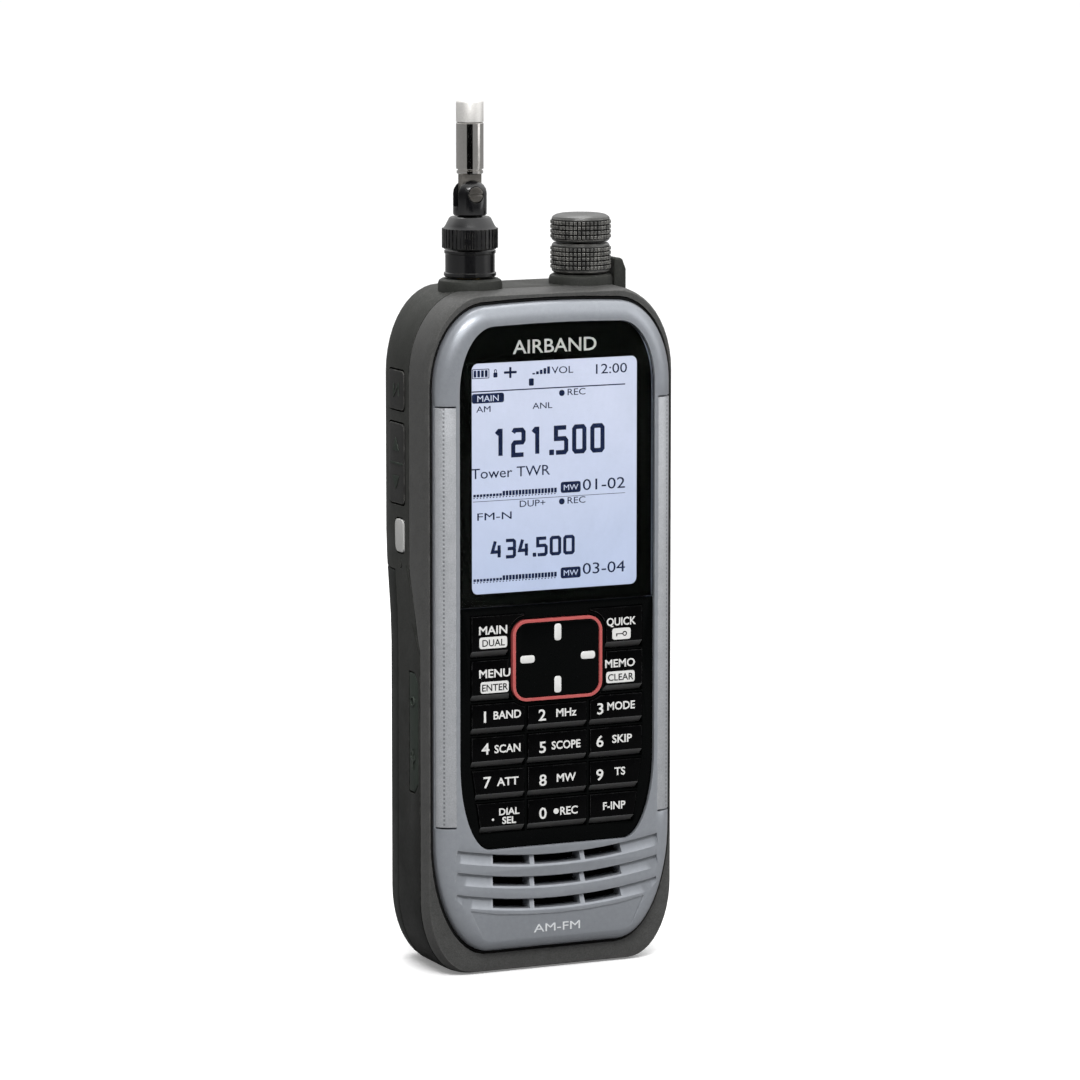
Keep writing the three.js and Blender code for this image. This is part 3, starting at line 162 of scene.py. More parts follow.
def choose_points(piece, test):
    """Enters edit mode with the points chosen whose place (mm) passes the test."""
    enter(piece, "VERT")
    bpy.ops.mesh.select_all(action="DESELECT")
    leave()
    for point in piece.data.vertices:
        point.select = bool(test(point.co / MM))
    bpy.ops.object.mode_set(mode="EDIT")


def weld(piece, outward=True):
    enter(piece, "VERT")
    bpy.ops.mesh.select_all(action="SELECT")
    bpy.ops.mesh.remove_doubles(threshold=0.004 * MM)
    if outward:
        bpy.ops.mesh.normals_make_consistent(inside=False)
    leave()


def flatten_faces(piece, degrees=1):
    """Joins loose triangles of one plane into whole faces."""
    enter(piece, "FACE")
    bpy.ops.mesh.select_all(action="SELECT")
    bpy.ops.mesh.dissolve_limited(angle_limit=math.radians(degrees))
    leave()


def apply_modifier(piece, modifier):
    pick(piece)
    bpy.ops.object.modifier_apply(modifier=modifier.name)


def soften(piece, width, segments=2, angle=35):
    """Rounds every edge sharper than the angle."""
    bevel = piece.modifiers.new("soft_edges", "BEVEL")
    bevel.width = width * MM
    bevel.segments = segments
    bevel.limit_method = "ANGLE"
    bevel.angle_limit = math.radians(angle)
    bevel.use_clamp_overlap = True
    apply_modifier(piece, bevel)


def combine(piece, tool, operation):
    """Cuts, joins or crosses a piece with a tool, and throws the tool away."""
    boolean = piece.modifiers.new(operation, "BOOLEAN")
    boolean.operation = operation
    boolean.solver = "EXACT"
    boolean.object = tool
    apply_modifier(piece, boolean)
    bpy.data.objects.remove(tool)
    if not piece.data.polygons:
        raise RuntimeError(f"{operation} left nothing of {piece.name}")


def cut(piece, *tools):
    for tool in tools:
        combine(piece, tool, "DIFFERENCE")


def join(*pieces):
    pick(pieces[0])
    for piece in pieces[1:]:
        piece.select_set(True)
    bpy.ops.object.join()
    return pieces[0]


def copy_of(piece, name):
    twin = piece.copy()
    twin.data = piece.data.copy()
    twin.name = name
    bpy.context.scene.collection.objects.link(twin)
    return twin


def move(piece, x=0, y=0, z=0):
    piece.data.transform(Matrix.Translation(Vector((x, y, z)) * MM))


def settle(piece):
    """Puts the object's place into its mesh."""
    pick(piece)
    bpy.ops.object.transform_apply(location=True, rotation=True, scale=True)


# ---------------------------------------------------------------- making forms from drawn outlines
# A drawing's across and up run along X and Z on "Y", along Y and Z on "X", and along X and Y on "Z".
FACING = {
    "Y": Matrix(((1, 0, 0, 0), (0, 0, -1, 0), (0, 1, 0, 0), (0, 0, 0, 1))),
    "X": Matrix(((0, 0, 1, 0), (1, 0, 0, 0), (0, 1, 0, 0), (0, 0, 0, 1))),
    "Z": Matrix.Identity(4),
}
OUTWARD = {"Y": -1, "X": 1, "Z": 1}


def draw(name, loops, closed=True):
    """A flat curve object with one straight-sided spline for each loop of points."""
    curve = bpy.data.curves.new(name, "CURVE")
    curve.dimensions = "2D"
    for loop in loops:
        spline = curve.splines.new("POLY")
        spline.points.add(len(loop) - 1)
        for point, (across, up) in zip(spline.points, loop):
            point.co = (across * MM, up * MM, 0, 1)
        spline.use_cyclic_u = closed
    drawing = bpy.data.objects.new(name, curve)
    bpy.context.scene.collection.objects.link(drawing)
    return drawing


def to_mesh(drawing, facing, level):
    drawing.matrix_world = Matrix.Translation(
        FACING[facing].to_3x3() @ Vector((0, 0, level * OUTWARD[facing] * MM))
    ) @ FACING[facing]
    pick(drawing)
    bpy.ops.object.convert(target="MESH")
    piece = bpy.context.view_layer.objects.active
    settle(piece)
    return piece


def solid(name, facing, loops, low, high):
    """Outlines with holes, filled from low to high along the facing axis."""
    drawing = draw(name, loops)
    drawing.data.fill_mode = "BOTH"
    drawing.data.extrude = (high - low) / 2 * MM
    piece = to_mesh(drawing, facing, (low + high) / 2)
    weld(piece)
    flatten_faces(piece)
    return piece


def swept(name, facing, path, profile, level, closed=False):
    """A profile of (sideways, outward) points carried along a path."""
    section = draw(name + "_section", [profile])
    drawing = draw(name, [path], closed)
    drawing.data.bevel_mode = "OBJECT"
    drawing.data.bevel_object = section
    drawing.data.use_fill_caps = not closed
    piece = to_mesh(drawing, facing, level)
    bpy.data.objects.remove(section)
    weld(piece)
    return piece


def block(name, low, high):
    """A box between two corners, the start of pieces that are cut and rounded afterwards."""
    low, high = Vector(low), Vector(high)
    bpy.ops.mesh.primitive_cube_add(size=1, location=(low + high) / 2 * MM)
    piece = bpy.context.active_object
    piece.name = name
    piece.scale = (high - low) * MM
    settle(piece)
    return piece


def spun(name, x, profile, steps=64):
    """A profile of (radius, height) points spun round a vertical axis at x."""
    drawing = draw(name, [[(x + radius, height) for radius, height in profile]], False)
    piece = to_mesh(drawing, "Y", 0)
    enter(piece, "VERT")
    bpy.ops.mesh.select_all(action="SELECT")
    bpy.ops.mesh.spin(steps=steps, angle=2 * math.pi, center=(x * MM, 0, 0), axis=(0, 0, 1))
    leave()
    weld(piece)
    return piece


def rod_y(name, x, z, radius, front, back, steps=32):
    bpy.ops.mesh.primitive_cylinder_add(
        vertices=steps,
        radius=radius * MM,
        depth=(back - front) * MM,
        location=Vector((x, (front + back) / 2, z)) * MM,
        rotation=(math.pi / 2, 0, 0),
    )
    piece = bpy.context.active_object
    piece.name = name
    settle(piece)
    return piece


def rod_z(name, x, radius, low, high, steps=48):
    bpy.ops.mesh.primitive_cylinder_add(
        vertices=steps,
        radius=radius * MM,
        depth=(high - low) * MM,
        location=Vector((x, 0, (low + high) / 2)) * MM,
    )
    piece = bpy.context.active_object
    piece.name = name
    settle(piece)
    return piece


# ---------------------------------------------------------------- outlines
def quarter(centre_x, centre_z, radius_x, radius_z, start, steps):
    """Points of a quarter ellipse, from a start angle in degrees."""
    angles = [math.radians(start + 90 * i / steps) for i in range(steps + 1)]
    return [(centre_x + radius_x * math.cos(a), centre_z + radius_z * math.sin(a)) for a in angles]


def panel(half, top, bottom, top_corner, bottom_corner, crown=0, stops=(), grow=0, steps=12):
    """Straight sides, elliptical corners and a slightly crowned top edge."""
    half, top, bottom = half + grow, top + grow, bottom - grow
    (top_x, top_z), (low_x, low_z) = top_corner, bottom_corner
    top_x, top_z, low_x, low_z = top_x + grow, top_z + grow, low_x + grow, low_z + grow
    points = quarter(half - low_x, bottom + low_z, low_x, low_z, -90, steps)
    points += [(half, stop) for stop in stops]
    points += quarter(half - top_x, top - top_z, top_x, top_z, 0, steps)
    for i in range(1, 8):
        share = i / 8
        points.append(((half - top_x) * (1 - 2 * share), top + 4 * crown * share * (1 - share)))
    points += quarter(top_x - half, top - top_z, top_x, top_z, 90, steps)
    points += [(-half, stop) for stop in reversed(stops)]
    points += quarter(low_x - half, bottom + low_z, low_x, low_z, 180, steps)
    return points


def rounded(left, bottom, right, top, radius, steps=8):
    points = quarter(right - radius, bottom + radius, radius, radius, -90, steps)
    points += quarter(right - radius, top - radius, radius, radius, 0, steps)
    points += quarter(left + radius, top - radius, radius, radius, 90, steps)
    points += quarter(left + radius, bottom + radius, radius, radius, 180, steps)
    return points


def plate_outline(grow=0):
    return panel(
        PLATE_HALF, PLATE_TOP, plate_low.z, PLATE_TOP_CORNER, PLATE_BOTTOM_CORNER, PLATE_CROWN,
        grow=grow, steps=16,
    )


def window_outline(grow=0):
    return panel(
        WINDOW_HALF, WINDOW_TOP, WINDOW_BOTTOM, WINDOW_TOP_CORNER, WINDOW_BOTTOM_CORNER, WINDOW_CROWN,
        grow=grow, steps=14,
    )


# ---------------------------------------------------------------- the case as one form
def ease(low, high, value):
    share = min(max((value - low) / (high - low), 0), 1)
    return share * share * (3 - 2 * share)


def fall(distance, run, inset):
    """How far a quarter ellipse falls away after a run."""
    share = min(max(distance / run, 0), 1)
    return inset * (1 - math.sqrt(1 - share * share))


def side_drop(y, z):
    grip = 1 - ease(GRIP_BANDS[0], GRIP_BANDS[-1], z)
    run = BACK_EDGE_RUN + grip * GRIP_EXTRA_RUN
    back = fall(y - BACK + run, run, BACK_EDGE_INSET + grip * GRIP_EXTRA_INSET)
    front = fall(FRONT_EDGE_RUN + CASE_FRONT - y, FRONT_EDGE_RUN, FRONT_EDGE_INSET)
    return back + front + grip * GRIP_WAIST * ease(SEAM_LOWER, 0, y)


def end_drop(y):
    back = fall(y - BACK + BACK_END_RUN, BACK_END_RUN, BACK_END_INSET)
    return back + fall(FRONT_EDGE_RUN + CASE_FRONT - y, FRONT_EDGE_RUN, FRONT_END_INSET)


def case_form(name, shrink=0):
    """The body's whole outer form, or a smaller one inside it for the hollows."""
    outline = panel(HALF_WIDTH, BODY_TOP, 0, TOP_CORNER, BOTTOM_CORNER, 0, GRIP_BANDS, -shrink)
    back = BACK - shrink
    levels = [CASE_FRONT + FRONT_EDGE_RUN * (1 - math.cos(math.radians(a))) for a in (0, 25, 42, 60, 90)]
    levels += [-2, 0.2]
    run = back - 1.2
    levels += [1.2 + run * math.sin(math.radians(a)) for a in (14, 27, 39, 50, 60, 68, 75, 81, 86, 90)]
    piece = to_mesh(draw(name, [outline]), "Y", levels[0])
    enter(piece, "VERT")
    bpy.ops.mesh.select_all(action="SELECT")
    bpy.ops.mesh.edge_face_add()
    for low, high in zip(levels, levels[1:]):
        bpy.ops.mesh.extrude_region_move(TRANSFORM_OT_translate={"value": (0, (high - low) * MM, 0)})
    leave()
    half = HALF_WIDTH - shrink
    for level in levels:
        close = lambda place, level=level: abs(place.y - level) < 0.01
        plain = 1 - side_drop(level + shrink, BODY_TOP) / half
        choose_points(piece, close)
        bpy.ops.transform.resize(value=(plain, 1, 1), center_override=(0, 0, 0))
        for low, high in zip((-FAR,) + GRIP_BANDS[:-1], GRIP_BANDS):
            band = 1 - side_drop(level + shrink, low) / half
            choose_points(piece, lambda p, a=low, b=high: close(p) and a - 0.01 < p.z < b - 0.01)
            bpy.ops.transform.resize(value=(band / plain, 1, 1), center_override=(0, 0, 0))
        choose_points(piece, close)
        upright = 1 - end_drop(level + shrink) / (BODY_MIDDLE - shrink)
        bpy.ops.transform.resize(
            value=(1, 1, upright), center_override=(0, 0, BODY_MIDDLE * MM)
        )
    leave()
    weld(piece)
    return piece


def ahead_of_seam(name, clearance):
    """Everything in front of the bent seam between the two cases."""
    bend_low, bend_high = SEAM_BEND
    outline = [
        (FRONT - 10, -10), (SEAM_LOWER + clearance, -10), (SEAM_LOWER + clearance, bend_low),
        (SEAM_UPPER + clearance, bend_high), (SEAM_UPPER + clearance, BODY_TOP + 20), (FRONT - 10, BODY_TOP + 20),
    ]
    return solid(name, "X", [outline], -FAR, FAR)


# ---------------------------------------------------------------- shader building
def node(tree, kind, inputs=None, **settings):
    """Adds a node; an input is a plain value or the output socket that feeds it."""
    made = tree.nodes.new(kind)
    for key, value in settings.items():
        setattr(made, key, value)
    for key, value in (inputs or {}).items():
        if isinstance(value, bpy.types.NodeSocket):
            tree.links.new(value, made.inputs[key])
        else:
            made.inputs[key].default_value = value
    return made


def calc(tree, operation, first, second=0.0, clamp=False):
    return node(
        tree, "ShaderNodeMath", {0: first, 1: second}, operation=operation, use_clamp=clamp
    ).outputs[0]


def blend_colours(tree, share, first, second):
    mixer = node(tree, "ShaderNodeMix", {"Factor": share}, data_type="RGBA")
    for index, value in ((6, first), (7, second)):
        if isinstance(value, bpy.types.NodeSocket):
            tree.links.new(value, mixer.inputs[index])
        else:
            mixer.inputs[index].default_value = value
    return mixer.outputs[2]


def ramp(tree, value, low, high, to_low=0.0, to_high=1.0):
    return node(tree, "ShaderNodeMapRange", {
        "Value": value, "From Min": low, "From Max": high, "To Min": to_low, "To Max": to_high,
    }).outputs["Result"]


def group(name, inputs, outputs):
    """An empty shader node group with number inputs and named outputs."""
    tree = bpy.data.node_groups.new(name, "ShaderNodeTree")
    for label, value in inputs:
        tree.interface.new_socket(label, in_out="INPUT", socket_type="NodeSocketFloat").default_value = value
    for label in outputs:
        tree.interface.new_socket(label, in_out="OUTPUT", socket_type="NodeSocketFloat")
    return tree, tree.nodes.new("NodeGroupInput").outputs, tree.nodes.new("NodeGroupOutput").inputs


def place_in_mm(tree):
    coordinates = node(tree, "ShaderNodeTexCoord").outputs["Object"]
    return node(
        tree, "ShaderNodeVectorMath", {0: coordinates, "Scale": 1 / MM}, operation="SCALE"
    ).outputs["Vector"]


def scaled_place(tree, size):
    """The place on the piece, counted in steps of the given size in millimetres."""
    per_step = calc(tree, "DIVIDE", 1.0, size)
    made = node(tree, "ShaderNodeVectorMath", {0: place_in_mm(tree)}, operation="SCALE")
    tree.links.new(per_step, made.inputs["Scale"])
    return made.outputs["Vector"]


def moulded_grain_group():
    """Fine pebbled grain of a moulding tool, with a slow change of tone across it."""
    tree, taken, given = group("moulded_grain", [("Size mm", 0.3), ("Pebble", 0.5)], ["Height", "Tone"])
    where = scaled_place(tree, taken["Size mm"])
    pebbles = node(tree, "ShaderNodeTexVoronoi", {"Vector": where, "Scale": 1.0}, feature="SMOOTH_F1")
    fine = node(tree, "ShaderNodeTexNoise", {"Vector": where, "Scale": 1.3, "Detail": 3.0})
    rounded_pebbles = calc(tree, "SUBTRACT", 1.0, pebbles.outputs["Distance"])
    share = calc(tree, "MULTIPLY", rounded_pebbles, taken["Pebble"])
    rest = calc(tree, "MULTIPLY", fine.outputs["Fac"], calc(tree, "SUBTRACT", 1.0, taken["Pebble"]))
    tree.links.new(calc(tree, "ADD", share, rest), given["Height"])
    slow = node(tree, "ShaderNodeTexNoise", {"Vector": where, "Scale": 0.09, "Detail": 4.0})
    speck = ramp(tree, fine.outputs["Fac"], 0.35, 0.65)
    tone = calc(tree, "ADD", calc(tree, "MULTIPLY", slow.outputs["Fac"], 0.5), calc(tree, "MULTIPLY", speck, 0.5))
    tree.links.new(tone, given["Tone"])
    return tree


def worn_edges_group():
    """Where sharp edges are rubbed: 1 on an edge, 0 on open faces, broken up by noise."""
    tree, taken, given = group("worn_edges", [("Reach mm", 0.3)], ["Mask"])
    reach = calc(tree, "MULTIPLY", taken["Reach mm"], MM)
    rounded_normal = node(tree, "ShaderNodeBevel", {"Radius": reach}, samples=4).outputs["Normal"]
    true_normal = node(tree, "ShaderNodeNewGeometry").outputs["Normal"]
    likeness = node(
        tree, "ShaderNodeVectorMath", {0: rounded_normal, 1: true_normal}, operation="DOT_PRODUCT"
    ).outputs["Value"]
    turned = ramp(tree, likeness, 0.995, 0.86)
    patchy = node(tree, "ShaderNodeTexNoise", {"Vector": place_in_mm(tree), "Scale": 0.7, "Detail": 5.0})
    broken = ramp(tree, patchy.outputs["Fac"], 0.38, 0.62)
    tree.links.new(calc(tree, "MULTIPLY", turned, broken), given["Mask"])
    return tree


def handling_group():
    """Patches polished or smeared by fingers, for the gloss to change across a surface."""
    tree, taken, given = group("handling", [("Size mm", 9.0)], ["Mask"])
    where = scaled_place(tree, taken["Size mm"])
    patches = node(tree, "ShaderNodeTexNoise", {"Vector": where, "Scale": 1.0, "Detail": 5.0, "Distortion": 0.6})
    streaks = node(tree, "ShaderNodeTexNoise", {"Vector": where, "Scale": 11.0, "Detail": 2.0})
    mask = calc(tree, "ADD", calc(tree, "MULTIPLY", patches.outputs["Fac"], 0.75),
                calc(tree, "MULTIPLY", streaks.outputs["Fac"], 0.25))
    tree.links.new(ramp(tree, mask, 0.32, 0.68), given["Mask"])
    return tree


def dust_group():
    """Light dust that settles on faces that look up."""
    tree, taken, given = group("settled_dust", [("Cover", 0.3)], ["Mask"])
    normal = node(tree, "ShaderNodeNewGeometry").outputs["Normal"]
    upward = ramp(tree, node(tree, "ShaderNodeSeparateXYZ", {0: normal}).outputs["Z"], 0.4, 1.0)
    specks = node(tree, "ShaderNodeTexNoise", {"Vector": place_in_mm(tree), "Scale": 1.9, "Detail": 6.0})
    caught = ramp(tree, specks.outputs["Fac"], 0.5, 0.72)
    tree.links.new(calc(tree, "MULTIPLY", calc(tree, "MULTIPLY", upward, caught), taken["Cover"]), given["Mask"])
    return tree


MOULDED_GRAIN = moulded_grain_group()
WORN_EDGES = worn_edges_group()
HANDLING = handling_group()
SETTLED_DUST = dust_group()


def use_group(tree, which, **values):
    made = node(tree, "ShaderNodeGroup", node_tree=which)
    for label, value in values.items():
        made.inputs[label.replace("_", " ")].default_value = value
    return made.outputs


def shade(value):
    """A grey or a colour written as its display hex, as linear light."""
    channels = [int(value[i:i + 2], 16) / 255 for i in (0, 2, 4)]
    linear = [c / 12.92 if c <= 0.04045 else ((c + 0.055) / 1.055) ** 2.4 for c in channels]
    return (*linear, 1.0)


def surface(name):
    """A material with its shader, and the tree to build on."""
    material = bpy.data.materials.new(name)
    material.use_nodes = True
    tree = material.node_tree
    tree.nodes.clear()
    shader = tree.nodes.new("ShaderNodeBsdfPrincipled")
    node(tree, "ShaderNodeOutputMaterial", {"Surface": shader.outputs[0]})
    return material, tree, shader


def moulded(
    name, dark, light, grain=0.3, depth=0.02, pebble=0.5, gloss=(0.4, 0.55), wear=0.0, worn="8a8a88",
    reach=0.3, metallic=0.0, specular=0.5, dust=0.0, coat=0.0, patch=9.0, painted_shade_dark=None, painted_shade_light=None, turn=None,
):
    """A finish whose tone, grain, gloss, worn edges and dust change across the surface.

    Where painted shade tones are given, the colour turns to them going down through the turn heights, a painted shade
    low down on the piece.
    """
    material, tree, shader = surface(name)
    pebbles = use_group(tree, MOULDED_GRAIN, Size_mm=grain, Pebble=pebble)
    handled = use_group(tree, HANDLING, Size_mm=patch)
    colour = blend_colours(tree, pebbles["Tone"], shade(dark), shade(light))
    # painted shade: below the turn heights the colour darkens towards the bottom, standing in for the shade on the
    # lower body
    if turn:
        height = node(tree, "ShaderNodeSeparateXYZ", {0: place_in_mm(tree)}).outputs["Z"]
        painted_shade_colour = blend_colours(tree, pebbles["Tone"], shade(painted_shade_dark), shade(painted_shade_light))
        colour = blend_colours(tree, ramp(tree, height, *turn), painted_shade_colour, colour)
    roughness = ramp(tree, handled["Mask"], 0, 1, *gloss)
    if wear:
        edges = use_group(tree, WORN_EDGES, Reach_mm=reach)
        share = calc(tree, "MULTIPLY", edges["Mask"], wear)
        colour = blend_colours(tree, share, colour, shade(worn))
    if dust:
        settled = use_group(tree, SETTLED_DUST, Cover=dust)
        colour = blend_colours(tree, settled["Mask"], colour, shade("a7a59f"))
        roughness = calc(tree, "ADD", roughness, calc(tree, "MULTIPLY", settled["Mask"], 0.3))
    bump = node(tree, "ShaderNodeBump", {"Height": pebbles["Height"], "Strength": 1.0, "Distance": depth * MM})
    tree.links.new(colour, shader.inputs["Base Color"])
    tree.links.new(roughness, shader.inputs["Roughness"])
    tree.links.new(bump.outputs["Normal"], shader.inputs["Normal"])
    shader.inputs["Metallic"].default_value = metallic
    shader.inputs["Specular IOR Level"].default_value = specular
    shader.inputs["Coat Weight"].default_value = coat
    shader.inputs["Coat Roughness"].default_value = 0.18
    return material


# ---------------------------------------------------------------- finishes
frame_grey = moulded(
    "frame_grey", "3a3a39", "565655", 0.26, 0.022, 0.6, (0.4, 0.54), wear=0.35, worn="8b8a86", reach=0.35,
    specular=0.25, dust=0.15,
)
# the near-black low tones are painted shade on the lower rear case
rear_grey = moulded(
    "rear_grey", "252624", "393a37", 0.28, 0.026, 0.65, (0.45, 0.6), wear=0.3, worn="7b7a76", specular=0.15, dust=0.15,
    painted_shade_dark="060706", painted_shade_light="0f110f", turn=(10, 84),
)
pack_black = moulded(
    "pack_black", "1c1e1c", "2b2d2b", 0.34, 0.03, 0.6, (0.55, 0.72), wear=0.3, worn="4f504d", specular=0.15, dust=0.2,
)
silver_paint = moulded(
    "silver_paint", "8b8f96", "a7abb1", 0.09, 0.004, 0.3, (0.3, 0.4), wear=0.5, worn="d9dbdd", reach=0.25,
    metallic=0.45, dust=0.1, coat=0.2, patch=16,
)
side_key_rubber = moulded("side_key_rubber", "1b1b1a", "2b2b2a", 0.22, 0.02, 0.6, (0.5, 0.65), wear=0.6, worn="93928d", specular=0.3)
power_key_grey = moulded("power_key_grey", "a9a9a7", "c3c3c1", 0.2, 0.012, 0.5, (0.4, 0.55), wear=0.3, worn="e2e2e0")
cover_rubber = moulded("cover_rubber", "232a25", "343b35", 0.25, 0.03, 0.7, (0.6, 0.75), wear=0.5, worn="6d726c", specular=0.2)
cloth_black = moulded("cloth_black", "030303", "090909", 0.5, 0.05, 0.8, (0.8, 0.95), specular=0.05)
seal_black = moulded("seal_black", "070707", "101010", 0.2, 0.01, 0.5, (0.6, 0.7), specular=0.2)
gloss_black = moulded("gloss_black", "030404", "060707", 0.5, 0.0015, 0.2, (0.08, 0.16), specular=0.05)
key_black = moulded(
    "key_black", "020202", "060607", 0.5, 0.002, 0.2, (0.14, 0.26), wear=0.6, worn="6a6a6b", reach=0.16, specular=0.05, patch=5,
)
# grey on the keys' lower chamfers is a painted reflection of the bright floor in front
key_chamfer_painted_reflection = moulded("key_chamfer_painted_reflection", "4f4f4f", "6a6a6a", 0.2, 0.004, 0.4, (0.3, 0.42), specular=0.4)
ring_coral = moulded("ring_coral", "a8494a", "c9625f", 0.2, 0.004, 0.4, (0.3, 0.42), wear=0.5, worn="e8a39a", reach=0.2)
print_white = moulded("print_white", "cfcfcd", "ececea", 0.15, 0.003, 0.4, (0.45, 0.6), specular=0.3)
print_silver = moulded("print_silver", "d4d7da", "eceeef", 0.15, 0.003, 0.4, (0.35, 0.5), metallic=0.2)
mask_black = moulded("mask_black", "030504", "070a08", 0.4, 0.001, 0.3, (0.35, 0.5), specular=0.03)
antenna_black = moulded(
    "antenna_black", "08080a", "111113", 0.4, 0.002, 0.3, (0.14, 0.24), wear=0.35, worn="6d6b66", reach=0.2,
    specular=0.6, coat=0.35,
)
knob_grey = moulded("knob_grey", "2e2e2d", "4a4a48", 0.2, 0.01, 0.6, (0.24, 0.36), wear=0.8, worn="bab8b2", reach=0.25, specular=0.7, coat=0.15)
# near-black between the knob's raised squares is painted shade in the grooves
knob_groove_painted_shade = moulded("knob_groove_painted_shade", "0b0b0b", "151514", 0.2, 0.01, 0.6, (0.5, 0.6), specular=0.1)
rod_chrome = moulded("rod_chrome", "d8d4cf", "efedea", 0.3, 0.0008, 0.1, (0.04, 0.12), metallic=1.0, patch=4)
tip_satin = moulded("tip_satin", "dedcd8", "f2f0ed", 0.35, 0.02, 0.4, (0.4, 0.55), metallic=0.55, wear=0.4, worn="eeece8", reach=0.2)
tongue_grey = moulded("tongue_grey", "77736e", "a5a19b", 0.25, 0.006, 0.2, (0.25, 0.4), metallic=0.8)
pin_steel = moulded("pin_steel", "55524e", "807d78", 0.2, 0.004, 0.2, (0.2, 0.35), metallic=0.9, wear=0.5, worn="c9c7c2")
screw_black = moulded("screw_black", "1d1d1e", "303031", 0.2, 0.004, 0.3, (0.3, 0.42), metallic=0.8, wear=0.6, worn="8c8a86", reach=0.2)
contact_gold = moulded("contact_gold", "a98848", "cfae6c", 0.2, 0.003, 0.2, (0.2, 0.34), metallic=1.0, patch=3)
latch_grey = moulded("latch_grey", "2c2d2c", "3e3f3d", 0.26, 0.02, 0.6, (0.45, 0.6), wear=0.4, worn="6f6e6a")
speaker_steel = moulded("speaker_steel", "2a2a2b", "3c3c3d", 0.3, 0.01, 0.4, (0.4, 0.5), metallic=0.4)
inner_black = moulded("inner_black", "101010", "1b1b1b", 0.3, 0.015, 0.5, (0.55, 0.7))
cell_wrap = moulded("cell_wrap", "2f4e7c", "466a9c", 0.8, 0.01, 0.2, (0.25, 0.4), wear=0.2, worn="9db4d4", reach=0.3)


def cover_glass_material():
    """Hard clear cover: smooth, faintly smeared, and almost without colour."""
    material, tree, shader = surface("cover_glass")
    handled = use_group(tree, HANDLING, Size_mm=12.0)
    tree.links.new(ramp(tree, handled["Mask"], 0, 1, 0.0, 0.015), shader.inputs["Roughness"])
    tint = blend_colours(tree, handled["Mask"], shade("fafcfb"), shade("f2f5f4"))
    tree.links.new(tint, shader.inputs["Base Color"])
    shader.inputs["Transmission Weight"].default_value = 1.0
    shader.inputs["Metallic"].default_value = 0.0
    shader.inputs["IOR"].default_value = 1.08
    return material


def board_material():
    """Green solder resist over copper tracks, with tinned pads."""
    material, tree, shader = surface("board_green")
    where = place_in_mm(tree)
    tracks = node(tree, "ShaderNodeTexBrick", {
        "Vector": where, "Scale": 0.5, "Mortar Size": 0.06, "Color1": shade("1f5a35"), "Color2": shade("246a3e"),
        "Mortar": shade("3b8a55"),
    })
    pads = node(tree, "ShaderNodeTexVoronoi", {"Vector": where, "Scale": 0.45})
    tinned = ramp(tree, pads.outputs["Distance"], 0.22, 0.18)
    tree.links.new(
        blend_colours(tree, tinned, tracks.outputs["Color"], shade("b9bcbd")), shader.inputs["Base Color"]
    )
    tree.links.new(ramp(tree, tinned, 0, 1, 0.42, 0.25), shader.inputs["Roughness"])
    bump = node(tree, "ShaderNodeBump", {"Height": tinned, "Strength": 1.0, "Distance": 0.04 * MM})
    tree.links.new(bump.outputs["Normal"], shader.inputs["Normal"])
    return material


def backlit_material():
    """Backlit liquid crystal: pale lavender, brighter towards the top, with a faint grid of dots."""
    material, tree, shader = surface("backlit_screen")
    where = node(tree, "ShaderNodeSeparateXYZ", {0: place_in_mm(tree)}).outputs
    height = ramp(tree, where["Z"], SCREEN_BOTTOM, SCREEN_TOP)
    slow = node(tree, "ShaderNodeTexNoise", {"Vector": place_in_mm(tree), "Scale": 0.05, "Detail": 1.0}).outputs["Fac"]
    glow = blend_colours(tree, calc(tree, "ADD", height, calc(tree, "MULTIPLY", slow, 0.3), True), shade("bfcbe9"), shade("dadff5"))
    dot_pitch = 0.28
    lines = [
        ramp(tree, calc(tree, "PINGPONG", where[axis], dot_pitch / 2), 0.0, 0.035) for axis in ("X", "Z")
    ]
    grid = calc(tree, "MULTIPLY", lines[0], lines[1])
    glow = blend_colours(tree, ramp(tree, grid, 0, 1, 0.1, 0.0), glow, shade("9fabd0"))
    tree.links.new(glow, shader.inputs["Emission Color"])
    shader.inputs["Emission Strength"].default_value = 0.97
    tree.links.new(blend_colours(tree, grid, shade("20242c"), shade("2c313b")), shader.inputs["Base Color"])
    shader.inputs["Roughness"].default_value = 0.5
    shader.inputs["Specular IOR Level"].default_value = 0.1
    return material


def ink_material():
    """Dark dots of the display, a deep navy that lets a little of the light behind it through."""
    material, tree, shader = surface("display_ink")
    grain = use_group(tree, MOULDED_GRAIN, Size_mm=0.2, Pebble=0.4)
    tree.links.new(blend_colours(tree, grain["Tone"], shade("0b1124"), shade("161e38")), shader.inputs["Base Color"])
    tree.links.new(blend_colours(tree, grain["Tone"], shade("121a33"), shade("1c2644")), shader.inputs["Emission Color"])
    shader.inputs["Emission Strength"].default_value = 0.8
    shader.inputs["Roughness"].default_value = 0.6
    shader.inputs["Specular IOR Level"].default_value = 0.1
    return material


